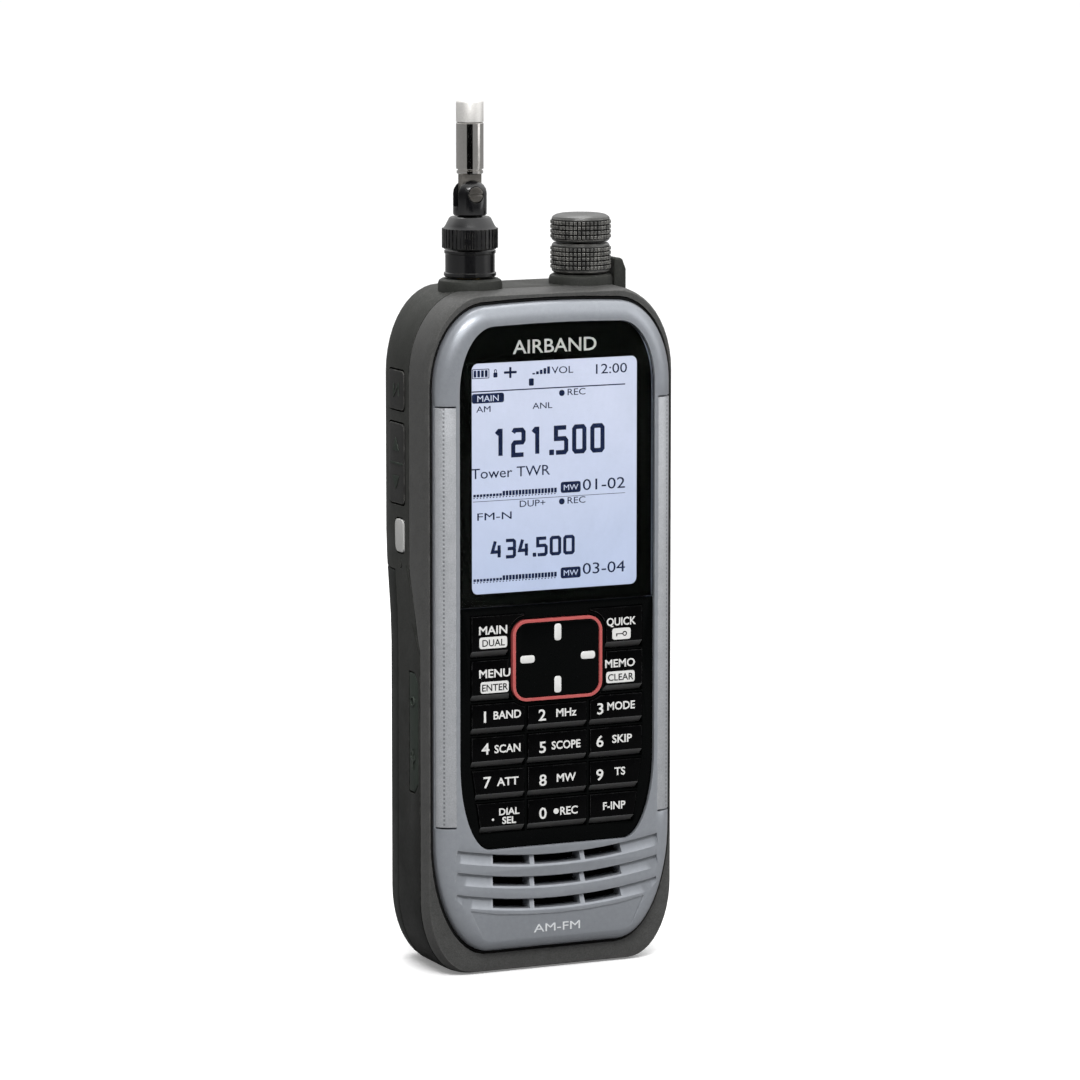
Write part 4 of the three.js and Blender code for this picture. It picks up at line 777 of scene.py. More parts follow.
def sanded_silver_material():
    """Sand-textured side strips, with a fine dotted line down their outer part."""
    material, tree, shader = surface("sanded_silver")
    grain = use_group(tree, MOULDED_GRAIN, Size_mm=0.24, Pebble=0.45)
    edges = use_group(tree, WORN_EDGES, Reach_mm=0.25)
    where = node(tree, "ShaderNodeSeparateXYZ", {0: place_in_mm(tree)}).outputs
    across = calc(tree, "ABSOLUTE", where["X"])
    from_line = calc(tree, "ABSOLUTE", calc(tree, "SUBTRACT", across, trim_high.x - 1.15))
    in_line = ramp(tree, from_line, 0.2, 0.12)
    dots = ramp(tree, calc(tree, "PINGPONG", where["Z"], 0.45), 0.16, 0.26)
    dotted = calc(tree, "MULTIPLY", in_line, dots)
    colour = blend_colours(tree, grain["Tone"], shade("9b9ea2"), shade("c9cbcf"))
    colour = blend_colours(tree, calc(tree, "MULTIPLY", dotted, 0.65), colour, shade("5c5e62"))
    colour = blend_colours(tree, calc(tree, "MULTIPLY", edges["Mask"], 0.5), colour, shade("dcdee0"))
    height = calc(tree, "SUBTRACT", grain["Height"], calc(tree, "MULTIPLY", dotted, 0.8))
    bump = node(tree, "ShaderNodeBump", {"Height": height, "Strength": 1.0, "Distance": 0.03 * MM})
    tree.links.new(colour, shader.inputs["Base Color"])
    tree.links.new(ramp(tree, grain["Tone"], 0, 1, 0.36, 0.5), shader.inputs["Roughness"])
    tree.links.new(bump.outputs["Normal"], shader.inputs["Normal"])
    shader.inputs["Metallic"].default_value = 0.4
    return material


cover_glass = cover_glass_material()
board_green = board_material()
backlit_screen = backlit_material()
display_ink = ink_material()
sanded_silver = sanded_silver_material()


# ---------------------------------------------------------------- finishing a piece
def finish(piece, body, materials, nodes=(), angle=32):
    """Smooths and colours a finished piece, hangs it on its body and hides the frame nodes it replaces."""
    pick(piece)
    bpy.ops.object.shade_smooth_by_angle(angle=math.radians(angle))
    piece.data.materials.clear()
    for material in materials if isinstance(materials, (list, tuple)) else [materials]:
        piece.data.materials.append(material)
    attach(piece, body)
    if nodes:
        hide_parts(*nodes)
    return piece


def carry_over(node_name, material):
    """A frame node that keeps its shape and gets its real finish."""
    node_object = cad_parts[node_name]
    node_object.data.materials.clear()
    node_object.data.materials.append(material)


def traced(node_name, name, width, segments=2, angle=35):
    """A new piece on a frame node's shape, its faces made whole and its edges rounded."""
    piece = copy_of(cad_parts[node_name], name)
    for key in list(piece.keys()):
        del piece[key]
    piece.parent = None
    piece.hide_render = False
    pick(piece)
    bpy.ops.mesh.customdata_custom_splitnormals_clear()
    weld(piece, outward=False)
    flatten_faces(piece, 0.5)
    soften(piece, width, segments, angle)
    return piece


# ---------------------------------------------------------------- the two cases
COVER_LOW, COVER_HIGH = span("jack_cover")
SIDE_KEYS = [("squelch_key", "squelch_key"), ("rocker_key", "rocker"), ("power_key", "power_key")]
KEY_CLEARANCE = 0.38


def jack_recess(name):
    """The cut that the jack cover sits in, with its two cut-off front corners."""
    corner, room = 2, 0.3
    nose, tail = COVER_LOW.y - room, COVER_HIGH.y + room
    low, high = COVER_LOW.z - room, COVER_HIGH.z + room
    outline = [(nose, low + corner), (nose + corner, low), (tail, low), (tail, high), (nose + corner, high), (nose, high - corner)]
    return solid(name, "X", [outline], -FAR, -HALF_WIDTH + 1.6 + room)


def jack_opening(name):
    low, high = span("jack_block")
    room = Vector((GAP, GAP, GAP))
    return block(name, low - room, high + room)


def front_shell():
    shell = copy_of(whole_form, "front_shell")
    combine(shell, ahead_of_seam("front_half", 0), "INTERSECT")
    pocket = solid("plate_pocket", "Y", [plate_outline(0.8)], FRONT - 5, plate_high.y + GAP)
    cut(shell, pocket)
    core = copy_of(inner_form, "front_core")
    cut(core, block("front_wall", (-FAR, -FAR, -FAR), (FAR, plate_high.y + GAP + 1.6, FAR * 4)))
    cut(shell, core, jack_recess("cover_recess"), jack_opening("jack_opening"))
    cut(shell, block("speaker_opening", (-16, FRONT, 12), (16, CASE_FRONT + 4, 26)))
    for x in (ANTENNA_X, KNOB_X):
        cut(shell, rod_z("boss_room", x, BOSS_RADIUS + GAP, BODY_TOP - 12, BODY_TOP + 6))
    soften(shell, 0.22, 3, 48)
    return finish(shell, "case", frame_grey, ["front_case"])


def guard_fin():
    """Curved fin beside the rotary control, thinner towards its top."""
    inner, outer = 6.9, 9.5
    arc = [math.radians(a) for a in range(-24, 25, 4)]
    outline = [(KNOB_X + outer * math.cos(a), outer * math.sin(a)) for a in arc]
    outline += [(KNOB_X + inner * math.cos(a), inner * math.sin(a)) for a in reversed(arc)]
    fin = solid("guard_fin", "Z", [outline], BODY_TOP - 4, rear_high.z)
    slope = solid("fin_slope", "Y", [[
        (KNOB_X + inner + 1.1, rear_high.z + 0.1), (KNOB_X + outer + 2, BODY_TOP - 5), (KNOB_X + outer + 6, BODY_TOP),
        (KNOB_X + outer + 6, rear_high.z + 3), (KNOB_X + inner + 1.1, rear_high.z + 3),
    ]], -10, 10)
    cut(fin, slope)
    soften(fin, 0.5, 3, 40)
    return fin


def boss(name, x):
    return spun(name, x, [
        (0, BODY_TOP - 4), (BOSS_RADIUS, BODY_TOP - 4), (BOSS_RADIUS, BOSS_TOP - 1.0), (BOSS_RADIUS - 0.25, BOSS_TOP - 0.35),
        (BOSS_RADIUS - 0.8, BOSS_TOP), (0, BOSS_TOP),
    ])


def rear_shell():
    shell = copy_of(whole_form, "rear_shell")
    cut(shell, ahead_of_seam("rear_half", GAP))
    bay = block("battery_bay", (-FAR, PACK_FRONT - GAP, -FAR), (FAR, FAR, PACK_TOP + GAP))
    cut(shell, bay)
    for x in (ANTENNA_X, KNOB_X):
        combine(shell, boss("boss", x), "UNION")
    combine(shell, guard_fin(), "UNION")
    core = copy_of(inner_form, "rear_core")
    cut(core, block("bay_wall", (-FAR, PACK_FRONT - WALL - GAP, -FAR), (FAR, FAR, PACK_TOP + WALL + GAP)))
    cut(shell, core, jack_recess("cover_recess"), jack_opening("jack_opening"))
    for x in (ANTENNA_X, KNOB_X):
        cut(shell, rod_z("shaft_room", x, 3.2, BODY_TOP - 9, BOSS_TOP + 1))
    soften(shell, 0.22, 3, 48)
    for node_name, _ in SIDE_KEYS:
        cap_low, cap_high = span(node_name)
        flange = 0.6 - KEY_CLEARANCE
        outline = rounded(
            cap_low.y + flange, cap_low.z + flange, cap_high.y - flange, cap_high.z - flange, 1.4, 6,
        )
        cut(shell, solid("key_opening", "X", [outline], -FAR, cap_high.x))
    for name in ("case_screw_1", "case_screw_2", "case_screw_3", "case_screw_4"):
        low, high = span(name)
        x, z = (low.x + high.x) / 2, (low.z + high.z) / 2
        cut(shell, rod_y("screw_seat", x, z, 2.6, high.y - 1.7, BACK + 1))
    symbol = power_symbol_cut()
    cut(shell, *symbol)
    return finish(shell, "case", rear_grey, ["rear_case"])


def power_symbol_cut():
    """Small ring and bar sunk in the side below the power key."""
    y, z, radius = 0.3, 85.6, 0.75
    ring = [(y + radius * math.sin(math.radians(a)), z + radius * math.cos(math.radians(a))) for a in range(40, 321, 20)]
    stroke = [(-0.13, -0.3), (0.13, -0.3), (0.13, 0.3), (-0.13, 0.3)]
    face = -HALF_WIDTH + side_drop(y, z)
    return (
        swept("power_ring", "X", ring, stroke, face),
        block("power_bar", (face - 1, y - 0.13, z + 0.2), (face + 0.3, y + 0.13, z + 1.1)),
    )


whole_form = case_form("whole_form")
inner_form = case_form("inner_form", WALL)
front_shell()
rear_shell()
bpy.data.objects.remove(inner_form)


# ---------------------------------------------------------------- front plate and side strips
def plate_form(name):
    """The plate's outline drawn back and rolled in towards the front, before its openings."""
    form = to_mesh(draw(name, [plate_outline()]), "Y", plate_high.y)
    enter(form, "VERT")
    bpy.ops.mesh.select_all(action="SELECT")
    bpy.ops.mesh.edge_face_add()
    shoulder = FRONT + PLATE_BORDER_DROP
    bpy.ops.mesh.extrude_region_move(TRANSFORM_OT_translate={"value": (0, (shoulder - plate_high.y) * MM, 0)})
    leave()
    weld(form)
    choose_faces(form, lambda centre, normal: normal.y < -0.9)
    steps = 9
    for i in range(steps):
        a, b = math.radians(90 * i / steps), math.radians(90 * (i + 1) / steps)
        inward = PLATE_BORDER_INSET * (math.cos(a) - math.cos(b))
        outward = PLATE_BORDER_DROP * (math.sin(b) - math.sin(a))
        bpy.ops.mesh.inset(thickness=inward * MM, depth=outward * MM, use_even_offset=True)
    leave()
    return form


NOTCH = 0.38
SMILE_TIP, SMILE_RISE = 23.4, 2.3
SLOT_HALF, RIB_AT, RIB_HALF = 14.9, 5.85, 0.5


def smile(height, low, high, count):
    """Points of a groove that rises towards both ends."""
    xs = [low + (high - low) * i / count for i in range(count + 1)]
    return [(x, height + SMILE_RISE * (x / SMILE_TIP) ** 2) for x in xs]


def louvre_cuts(height):
    """One louvre: a wedge deepest along its top, and three openings through it."""
    wedge = [(1.25, 1.0), (1.25, -0.02), (-1.25, -0.9), (-1.45, 1.0)]
    tools = [swept("louvre_wedge", "Y", smile(height, -SMILE_TIP, SMILE_TIP, 36), wedge, FRONT)]
    slot = [(0.85, 2.0), (0.85, -6.0), (-1.05, -6.0), (-1.05, 2.0)]
    spans = [
        (-SLOT_HALF, -RIB_AT - RIB_HALF), (-RIB_AT + RIB_HALF, RIB_AT - RIB_HALF), (RIB_AT + RIB_HALF, SLOT_HALF),
    ]
    for low, high in spans:
        tools.append(swept("louvre_slot", "Y", smile(height, low, high, 10), slot, FRONT))
    return tools


def front_plate():
    plate = copy_of(blank_plate, "front_cover_plate")
    cut(plate, solid("plate_window", "Y", [window_outline()], FRONT - 3, FRONT + 8))
    badge = [(-20.2, 14.3), (-16.4, 6.6), (16.4, 6.6), (20.2, 14.3), (14, 13.15), (7, 12.55), (0, 12.35), (-7, 12.55), (-14, 13.15)]
    cut(plate, solid("label_recess", "Y", [badge], FRONT - 2, FRONT + 0.28))
    soften(plate, 0.3, 3, 30)
    for side in (LEFT, RIGHT):
        inner, outer = sorted((side * trim_low.x, side * FAR))
        seat_low, seat_high = trim_low.z - NOTCH, trim_high.z + NOTCH
        cut(plate, block("strip_seat", (inner, -FAR, seat_low), (outer, trim_high.y + 0.25, seat_high)))
    for height in (23.7, 19.1, 14.4):
        cut(plate, *louvre_cuts(height))
    soften(plate, 0.1, 2, 38)
    return finish(plate, "case", silver_paint, ["front_plate"])


def side_strip(side, name, node_name):
    strip = copy_of(blank_plate, name)
    inner, outer = sorted((side * trim_low.x, side * FAR))
    combine(strip, block("strip_room", (inner, -FAR, trim_low.z), (outer, trim_high.y, trim_high.z)), "INTERSECT")
    soften(strip, 0.12, 2, 30)
    return finish(strip, "case", sanded_silver, [node_name])


blank_plate = plate_form("blank_plate")
front_plate()
side_strip(LEFT, "side_strip_left", "side_trim_left")
side_strip(RIGHT, "side_strip_right", "side_trim_right")
bpy.data.objects.remove(blank_plate)


def seal_ring():
    ring = solid("seal_ring", "Y", [plate_outline(0.65), plate_outline(0.15)], CASE_FRONT + 0.35, plate_high.y + GAP - 0.1)
    soften(ring, 0.12, 2)
    return finish(ring, "case", seal_black, ["gasket"])


seal_ring()


def grille_cloth():
    """Black dust cloth in the sound opening, behind the louvres."""
    front = plate_high.y + GAP + 0.05
    cloth = solid("grille_cloth", "Y", [rounded(-15.6, 12.4, 15.6, 25.6, 0.6, 3)], front, front + 0.4)
    soften(cloth, 0.1, 2)
    return finish(cloth, "case", cloth_black)


grille_cloth()


# ---------------------------------------------------------------- display
def cover_glass_piece():
    outline = window_outline(-0.2)
    glass = solid("cover_glass", "Y", [outline], lens_low.y, lens_high.y)
    cut(glass, block("below_glass", (-FAR, -FAR, -FAR), (FAR, FAR, lens_low.z)))
    soften(glass, 0.15, 2)
    return finish(glass, "case", cover_glass, ["display_lens"])


def display_mask():
    hole = rounded(-SCREEN_HALF, SCREEN_BOTTOM, SCREEN_HALF, SCREEN_TOP, 1.4)
    mask = solid("display_mask", "Y", [window_outline(-0.2), hole], mask_low.y, mask_high.y)
    cut(mask, block("below_mask", (-FAR, -FAR, -FAR), (FAR, FAR, mask_low.z)))
    soften(mask, 0.08, 2)
    return finish(mask, "case", mask_black, ["display_frame"])


def lettering(name, words, x, z, height, level, wide=1.0, heavy=0.0, align="CENTER", thick=0.05):
    """Printed words that face the front, their middle at z and their front at the level given."""
    text = bpy.data.curves.new(name, "FONT")
    text.body = words
    text.size = height / 0.72 * MM
    text.align_x = align
    text.extrude = thick / 2 * MM
    text.offset = heavy * MM
    text.resolution_u = 3
    written = bpy.data.objects.new(name, text)
    bpy.context.scene.collection.objects.link(written)
    pick(written)
    bpy.ops.object.convert(target="MESH")
    piece = bpy.context.view_layer.objects.active
    piece.data.transform(Matrix.Diagonal((wide, 1, 1, 1)))
    piece.data.transform(Matrix.Translation((x * MM, (z - height / 2) * MM, 0)))
    piece.data.transform(FACING["Y"])
    move(piece, y=level + thick / 2)
    return piece


def inked(name, left, bottom, right, top, level, thick=0.05, radius=0.15, holes=()):
    """A small printed block with rounded corners."""
    loops = [rounded(left, bottom, right, top, radius, 3)] + list(holes)
    return solid(name, "Y", loops, level, level + thick)


# Strokes of the squared figures on a field 4 wide and 7 tall.
FIGURES = {
    "0": [[(0.6, 0), (3.4, 0), (4, 0.6), (4, 6.4), (3.4, 7), (0.6, 7), (0, 6.4), (0, 0.6), (0.6, 0), (1.2, 0)]],
    "1": [[(0.6, 6.1), (1.6, 7), (2.2, 7), (2.2, 0)]],
    "2": [[(0, 6.3), (0.6, 7), (3.4, 7), (4, 6.4), (4, 4.1), (3.5, 3.5), (0.6, 3.5), (0, 2.9), (0, 0), (4, 0)]],
    "3": [[(0, 7), (3.4, 7), (4, 6.4), (4, 4), (3.5, 3.5), (4, 3), (4, 0.6), (3.4, 0), (0, 0)], [(0.8, 3.5), (3.6, 3.5)]],
    "4": [[(1.4, 7), (0, 2.4), (4, 2.4)], [(3.2, 5.2), (3.2, 0)]],
    "5": [[(4, 7), (0, 7), (0, 3.9), (3.4, 3.9), (4, 3.3), (4, 0.6), (3.4, 0), (0, 0)]],
}


def figures(name, digits, left, bottom, height, pitch, stroke, wide, level):
    """A row of squared figures; a point takes a third of a place."""
    unit = height / 7
    half = stroke / 2
    section = [(-half, -0.025), (half, -0.025), (half, 0.025), (-half, 0.025)]
    parts, x = [], left
    for digit in digits:
        if digit == ".":
            parts.append(inked(name + "_point", x - 0.2 * unit, bottom - half, x + stroke, bottom + half * 1.4, level))
            x += pitch / 3
            continue
        for line in FIGURES[digit]:
            path = [(x + across * unit * wide, bottom + up * unit) for across, up in line]
            parts.append(swept(name + "_stroke", "Y", path, section, level + 0.025))
        x += pitch
    return parts


def meter_bar(name, left, bottom, level):
    """A signal meter: a row of small steps that thicken to the right."""
    parts = []
    for i in range(26):
        x = left + i * 0.74
        tall = 0.55 if i < 9 else 1.0
        parts.append(inked(name + "_step", x, bottom, x + 0.56, bottom + tall, level, radius=0.05))
        parts.append(inked(name + "_foot", x, bottom - 0.32, x + 0.3, bottom - 0.12, level, radius=0.04))
    return parts


def boxed_word(name, words, left, bottom, right, top, level, height):
    """A dark box with its word cut out of it."""
    box = inked(name + "_box", left, bottom, right, top, level, 0.04, 0.45)
    middle = (left + right) / 2
    word = lettering(name + "_word", words, middle, (bottom + top) / 2, height, level - 0.02, 1.15, thick=0.02)
    return box, word


def screen_marks():
    level = module_low.y - 0.08
    left, right, top = -SCREEN_HALF, SCREEN_HALF, SCREEN_TOP
    dark = []
    for i in range(4):
        dark.append(inked("cell_bar", left + 0.7 + i * 0.85, top - 2.9, left + 1.3 + i * 0.85, top - 1.5, level, radius=0.1))
    dark.append(inked("cell_case", left + 0.35, top - 3.2, left + 4.25, top - 1.2, level, holes=[
        rounded(left + 0.5, top - 3.05, left + 4.1, top - 1.35, 0.1, 3),
    ]))
    dark.append(inked("lock_body", left + 5.2, top - 3.1, left + 6.1, top - 2.1, level))
    dark.append(inked("lock_bow", left + 5.35, top - 2.2, left + 5.95, top - 1.4, level, radius=0.28, holes=[
        rounded(left + 5.5, top - 2.1, left + 5.8, top - 1.6, 0.12, 3),
    ]))
    dark.append(inked("fix_bar", left + 7.6, top - 2.45, left + 10.5, top - 1.95, level))
    dark.append(inked("fix_stem", left + 8.8, top - 3.4, left + 9.3, top - 1.1, level))
    dark.append(lettering("volume_word", "VOL", left + 21.0, top - 2.2, 1.5, level, 1.25))
    for i in range(5):
        dark.append(inked("volume_bar", left + 14.1 + i * 0.85, top - 2.9, left + 14.7 + i * 0.85, top - 2.6 + i * 0.3, level, radius=0.08))
    dark.append(inked("volume_mark", left + 13.3, top - 5.2, left + 14.4, top - 3.7, level, radius=0.2))
    dark.append(lettering("clock", "12:00", right - 6.1, top - 2.4, 2.1, level, 1.24))
    dark.append(inked("rule", left + 0.3, top - 6.0, right - 2.6, top - 5.76, level, radius=0.05))
    dark.append(lettering("first_mode", "AM", left + 3.0, top - 9.5, 1.3, level, 1.3))
    dark.append(lettering("first_filter", "ANL", left + 16.4, top - 9.4, 1.3, level, 1.3))
    dark.append(lettering("first_record", "REC", left + 24.2, top - 6.9, 1.4, level, 1.25))
    dark.append(inked("first_dot", left + 20.2, top - 7.7, left + 21.5, top - 6.4, level, radius=0.62))
    dark += figures("first_figures", "121.500", left + 5.5, top - 19.4, 5.15, 4.2, 0.95, 0.8, level)
    dark.append(lettering("station", "Tower TWR", left + 9.1, top - 22.8, 2.2, level, 1.12))
    dark += meter_bar("first_meter", left + 0.6, top - 27.7, level)
    dark.append(lettering("first_channel", "01-02", right - 7.5, top - 26.4, 2.4, level, 1.3))
    dark.append(inked("first_rule", left + 0.5, top - 28.7, right - 2.6, top - 28.6, level, radius=0.03))
    dark.append(lettering("shift", "DUP+", left + 14.1, top - 29.6, 1.4, level, 1.25))
    dark.append(lettering("second_record", "REC", left + 24.2, top - 29.5, 1.4, level, 1.25))
    dark.append(inked("second_dot", left + 20.2, top - 30.3, left + 21.5, top - 29.0, level, radius=0.62))
    dark.append(lettering("second_mode", "FM-N", left + 5.4, top - 31.8, 1.6, level, 1.6))
    dark += figures("second_figures", "434.500", left + 4.9, top - 40.5, 3.4, 3.12, 0.7, 1.0, level)
    dark += meter_bar("second_meter", left + 0.6, top - 45.3, level)
    dark.append(lettering("second_channel", "03-04", right - 7.5, top - 44.0, 2.4, level, 1.3))
    pale = []
    boxes = [
        ("main_tag", "MAIN", left + 0.3, top - 8.3, left + 7.6, top - 6.3, 1.3),
        ("first_tag", "MW", left + 20.6, top - 27.9, left + 25.2, top - 25.6, 1.2),
        ("second_tag", "MW", left + 20.6, top - 45.8, left + 25.2, top - 43.5, 1.2),
    ]
    for name, words, x0, z0, x1, z1, height in boxes:
        box, word = boxed_word(name, words, x0, z0, x1, z1, level, height)
        dark.append(box)
        pale.append(word)
    marks = join(*dark)
    marks.name = "screen_marks"
    finish(marks, "case", display_ink)
    tags = join(*pale)
    tags.name = "screen_tags"
    finish(tags, "case", backlit_screen)


cover_glass_piece()
display_mask()
screen_marks()
top_word = lettering("cover_word", "AIRBAND", 0, 131.4, 2.9, mask_low.y - 0.08, 1.12, 0.03)
finish(top_word, "case", print_white)
label_word = lettering("plate_word", "AM-FM", 0, 9.35, 1.75, FRONT + 0.16, 1.5, thick=0.3)
finish(label_word, "case", print_silver)


# ---------------------------------------------------------------- keypad
LEGENDS = {
    "key_main": [("MAIN", -14.85, 73.0, 1.75, 1.12)],
    "key_menu": [("MENU", -14.5, 63.95, 1.75, 1.1)],
    "key_quick": [("QUICK", 14.75, 72.9, 1.65, 0.94)],
    "key_clear": [("MEMO", 14.5, 64.1, 1.7, 1.05)],
    "key_1": [("1", -16.75, 54.9, 2.4, 1.15), ("BAND", -11.65, 55.1, 1.7, 1.0)],
    "key_2": [("2", -3.55, 54.4, 2.4, 1.1), ("MHz", 1.95, 54.6, 1.7, 1.05)],
    "key_3": [("3", 9.95, 54.75, 2.4, 1.1), ("MODE", 14.75, 55.1, 1.7, 0.98)],
    "key_4": [("4", -16.6, 48.2, 2.4, 1.1), ("SCAN", -11.55, 48.0, 1.7, 1.0)],
    "key_5": [("5", -3.45, 47.6, 2.4, 1.1), ("SCOPE", 1.95, 47.8, 1.7, 0.95)],
    "key_6": [("6", 9.85, 47.85, 2.4, 1.1), ("SKIP", 15.0, 48.1, 1.7, 1.05)],
    "key_7": [("7", -16.3, 41.15, 2.4, 1.1), ("ATT", -11.5, 41.05, 1.7, 1.1)],
    "key_8": [("8", -3.4, 40.65, 2.4, 1.1), ("MW", 1.95, 40.85, 1.7, 1.05)],
    "key_9": [("9", 9.85, 40.75, 2.4, 1.1), ("TS", 14.55, 41.2, 1.65, 1.05)],
    "key_dot": [(".", -14.95, 34.1, 2.2, 1.2), ("DIAL", -11.25, 34.7, 1.45, 1.1), ("SEL", -11.25, 32.85, 1.45, 1.1)],
    "key_0": [("0", -3.4, 33.65, 2.4, 1.1), ("REC", 2.6, 33.8, 1.7, 1.0)],
    "key_entry": [("F-INP", 13.15, 34.0, 1.65, 1.0)],
}
# Words in a white box, as its left and right end, its height and what is cut out of it.
BOXED = {
    "key_main": ("DUAL", -18.0, -11.65, 70.35),
    "key_menu": ("ENTER", -17.75, -11.3, 61.0),
    "key_quick": ("", 12.7, 17.0, 70.25),
    "key_clear": ("CLEAR", 11.3, 17.95, 61.15),
}
BOX_HALF = 1.2


def key_symbol(left, right, height, level):
    """A small key: a ring with a shaft and two teeth."""
    middle = (left + right) / 2
    ring = [(middle + 0.75 + 0.42 * math.cos(math.radians(a)), height + 0.42 * math.sin(math.radians(a))) for a in range(0, 360, 30)]
    stroke = [(-0.1, -0.02), (0.1, -0.02), (0.1, 0.02), (-0.1, 0.02)]
    return [
        swept("key_bow", "Y", ring, stroke, level + 0.02, closed=True),
        inked("key_shaft", middle - 1.3, height - 0.1, middle + 0.35, height + 0.1, level, 0.04, 0.05),
        inked("key_tooth", middle - 1.25, height - 0.5, middle - 1.0, height, level, 0.04, 0.05),
    ]


def press_key(name):
    cap = traced(name, name + "_cap", 0.2, 3, 30)
    finish(cap, name, [key_black, key_chamfer_painted_reflection], [name])

    def on_slope(centre, normal):
        return normal.z < -0.35 and normal.y < -0.35

    # the lower chamfer faces take the painted floor reflection
    choose_faces(cap, on_slope)
    cap.active_material_index = 1
    bpy.ops.object.material_slot_assign()
    leave()
    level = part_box(name)[0].y / MM - 0.06
    legends = [
        lettering(name + "_word", words, x, z, height, level, wide, 0.045, thick=0.07)
        for words, x, z, height, wide in LEGENDS[name]
    ]
    if name == "key_0":
        legends.append(inked("record_dot", -0.95, 33.2, 0.25, 34.4, level, 0.07, 0.58))
    if name in BOXED:
        words, left, right, height = BOXED[name]
        legends.append(inked("legend_box", left, height - BOX_HALF, right, height + BOX_HALF, level, 0.06, 0.5))
        inks = key_symbol(left, right, height, level - 0.04) if not words else [
            lettering("box_word", words, (left + right) / 2, height, 1.45, level - 0.03, 1.0, 0.02, thick=0.04)
        ]
        ink = join(*inks)
        ink.name = name + "_box_word"
        finish(ink, name, key_black)
    legend = join(*legends) if len(legends) > 1 else legends[0]
    legend.name = name + "_legend"
    finish(legend, name, print_white)


def keypad_frame():
    bezel = traced("keypad_bezel", "keypad_frame", 0.18, 2, 30)
    return finish(bezel, "case", gloss_black, ["keypad_bezel"])


PAD_CORNER, RING_WIDTH = 3.2, 0.62


def pad_outline(grow):
    return rounded(
        ring_low.x - grow, ring_low.z - grow, ring_high.x + grow, ring_high.z + grow, PAD_CORNER + grow, 10,
    )


def direction_pad():
    ring = solid("pad_ring", "Y", [pad_outline(0), pad_outline(-RING_WIDTH)], ring_low.y, ring_high.y)
    soften(ring, 0.26, 4, 40)
    finish(ring, "dpad", ring_coral, ["dpad_ring"])
    pad_low, pad_high = span("dpad_pad")
    pad = solid("pad_face", "Y", [pad_outline(-RING_WIDTH - 0.1)], pad_low.y, pad_high.y)
    soften(pad, 0.3, 4, 40)
    finish(pad, "dpad", gloss_black, ["dpad_pad"])
    bars = []
    for x, z, half_x, half_z in ((0, 71.6, 0.8, 1.75), (0, 60.6, 0.8, 1.75), (-7.0, 66.3, 1.65, 0.8), (7.0, 66.3, 1.65, 0.8)):
        bar = inked("pad_bar", x - half_x, z - half_z, x + half_x, z + half_z, ring_low.y + 0.005, 0.12, 0.55)
        bars.append(bar)
    marks = join(*bars)
    marks.name = "pad_marks"
    soften(marks, 0.03, 2)
    finish(marks, "dpad", print_white)


for key_name in LEGENDS:
    press_key(key_name)
keypad_frame()
direction_pad()


# ---------------------------------------------------------------- side keys and jack cover
MARK_RISE = 0.1


def raised_mark(name, loops, face):
    """A small raised mark on the left side, drawn along Y and Z."""
    mark = solid(name, "X", loops, face, face + MARK_RISE + 0.2)
    soften(mark, 0.04, 2)
    return mark


def side_keys():
    """Rubber caps, set in by the height of the marks that stand on them."""
    for node_name, body in SIDE_KEYS:
        cap = traced(node_name, body + "_cap", 0.35, 4, 40)
        outer = span(node_name)[0].x
        choose_points(cap, lambda place: place.x < outer + 1.2)
        bpy.ops.transform.translate(value=(MARK_RISE * MM, 0, 0))
        leave()
        material = power_key_grey if node_name == "power_key" else side_key_rubber
        finish(cap, body, material, [node_name])
    face = span("squelch_key")[0].x
    low, high = span("squelch_key")
    middle = (low.z + high.z) / 2
    bent = [(0.2, middle - 1.2), (0.2, middle + 1.3), (2.6, middle - 1.2), (2.6, middle + 1.3)]
    stroke = [(-0.16, -0.2), (0.16, -0.2), (0.16, 0.1), (-0.16, 0.1)]
    mark = swept("squelch_mark", "X", bent, stroke, face + 0.2)
    finish(mark, "squelch_key", cover_rubber)
    low, high = span("rocker_key")
    middle = (low.z + high.z) / 2
    up_arrow = [(0.0, middle + 2.6), (3.4, middle + 2.6), (1.7, middle + 5.4)]
    down_arrow = [(0.0, middle - 2.6), (1.7, middle - 5.4), (3.4, middle - 2.6)]
    arrows = raised_mark("rocker_arrows", [up_arrow, down_arrow], face)
    divider = raised_mark("rocker_divider", [rounded(-1.6, middle - 0.22, 4.4, middle + 0.22, 0.2, 3)], face)
    finish(join(arrows, divider), "rocker", cover_rubber)


def jack_cover_piece():
    cover = traced("jack_cover", "jack_cover_flap", 0.3, 3, 40)
    finish(cover, "jack_cover", cover_rubber, ["jack_cover"])
    face = -HALF_WIDTH + 0.12
    symbols = []
    y, z = -5.6, 57.6
    lamp = [(y + 0.9 * math.cos(math.radians(a)), z + 0.9 * math.sin(math.radians(a))) for a in range(0, 360, 30)]
    stroke = [(-0.12, -0.15), (0.12, -0.15), (0.12, 0.12), (-0.12, 0.12)]
    symbols.append(swept("ear_mark", "X", lamp, stroke, face, closed=True))
    z = 45.4
    symbols.append(swept("wire_mark", "X", [(y, z - 2.2), (y, z + 2.2)], stroke, face))
    symbols.append(swept("wire_branch", "X", [(y - 0.9, z + 0.9), (y - 0.9, z), (y, z - 0.9)], stroke, face))
    symbols.append(swept("wire_twig", "X", [(y + 0.9, z + 1.5), (y + 0.9, z + 0.5), (y, z - 0.3)], stroke, face))
    marks = join(*symbols)
    marks.name = "jack_cover_marks"
    finish(marks, "jack_cover", cover_rubber)


side_keys()
jack_cover_piece()


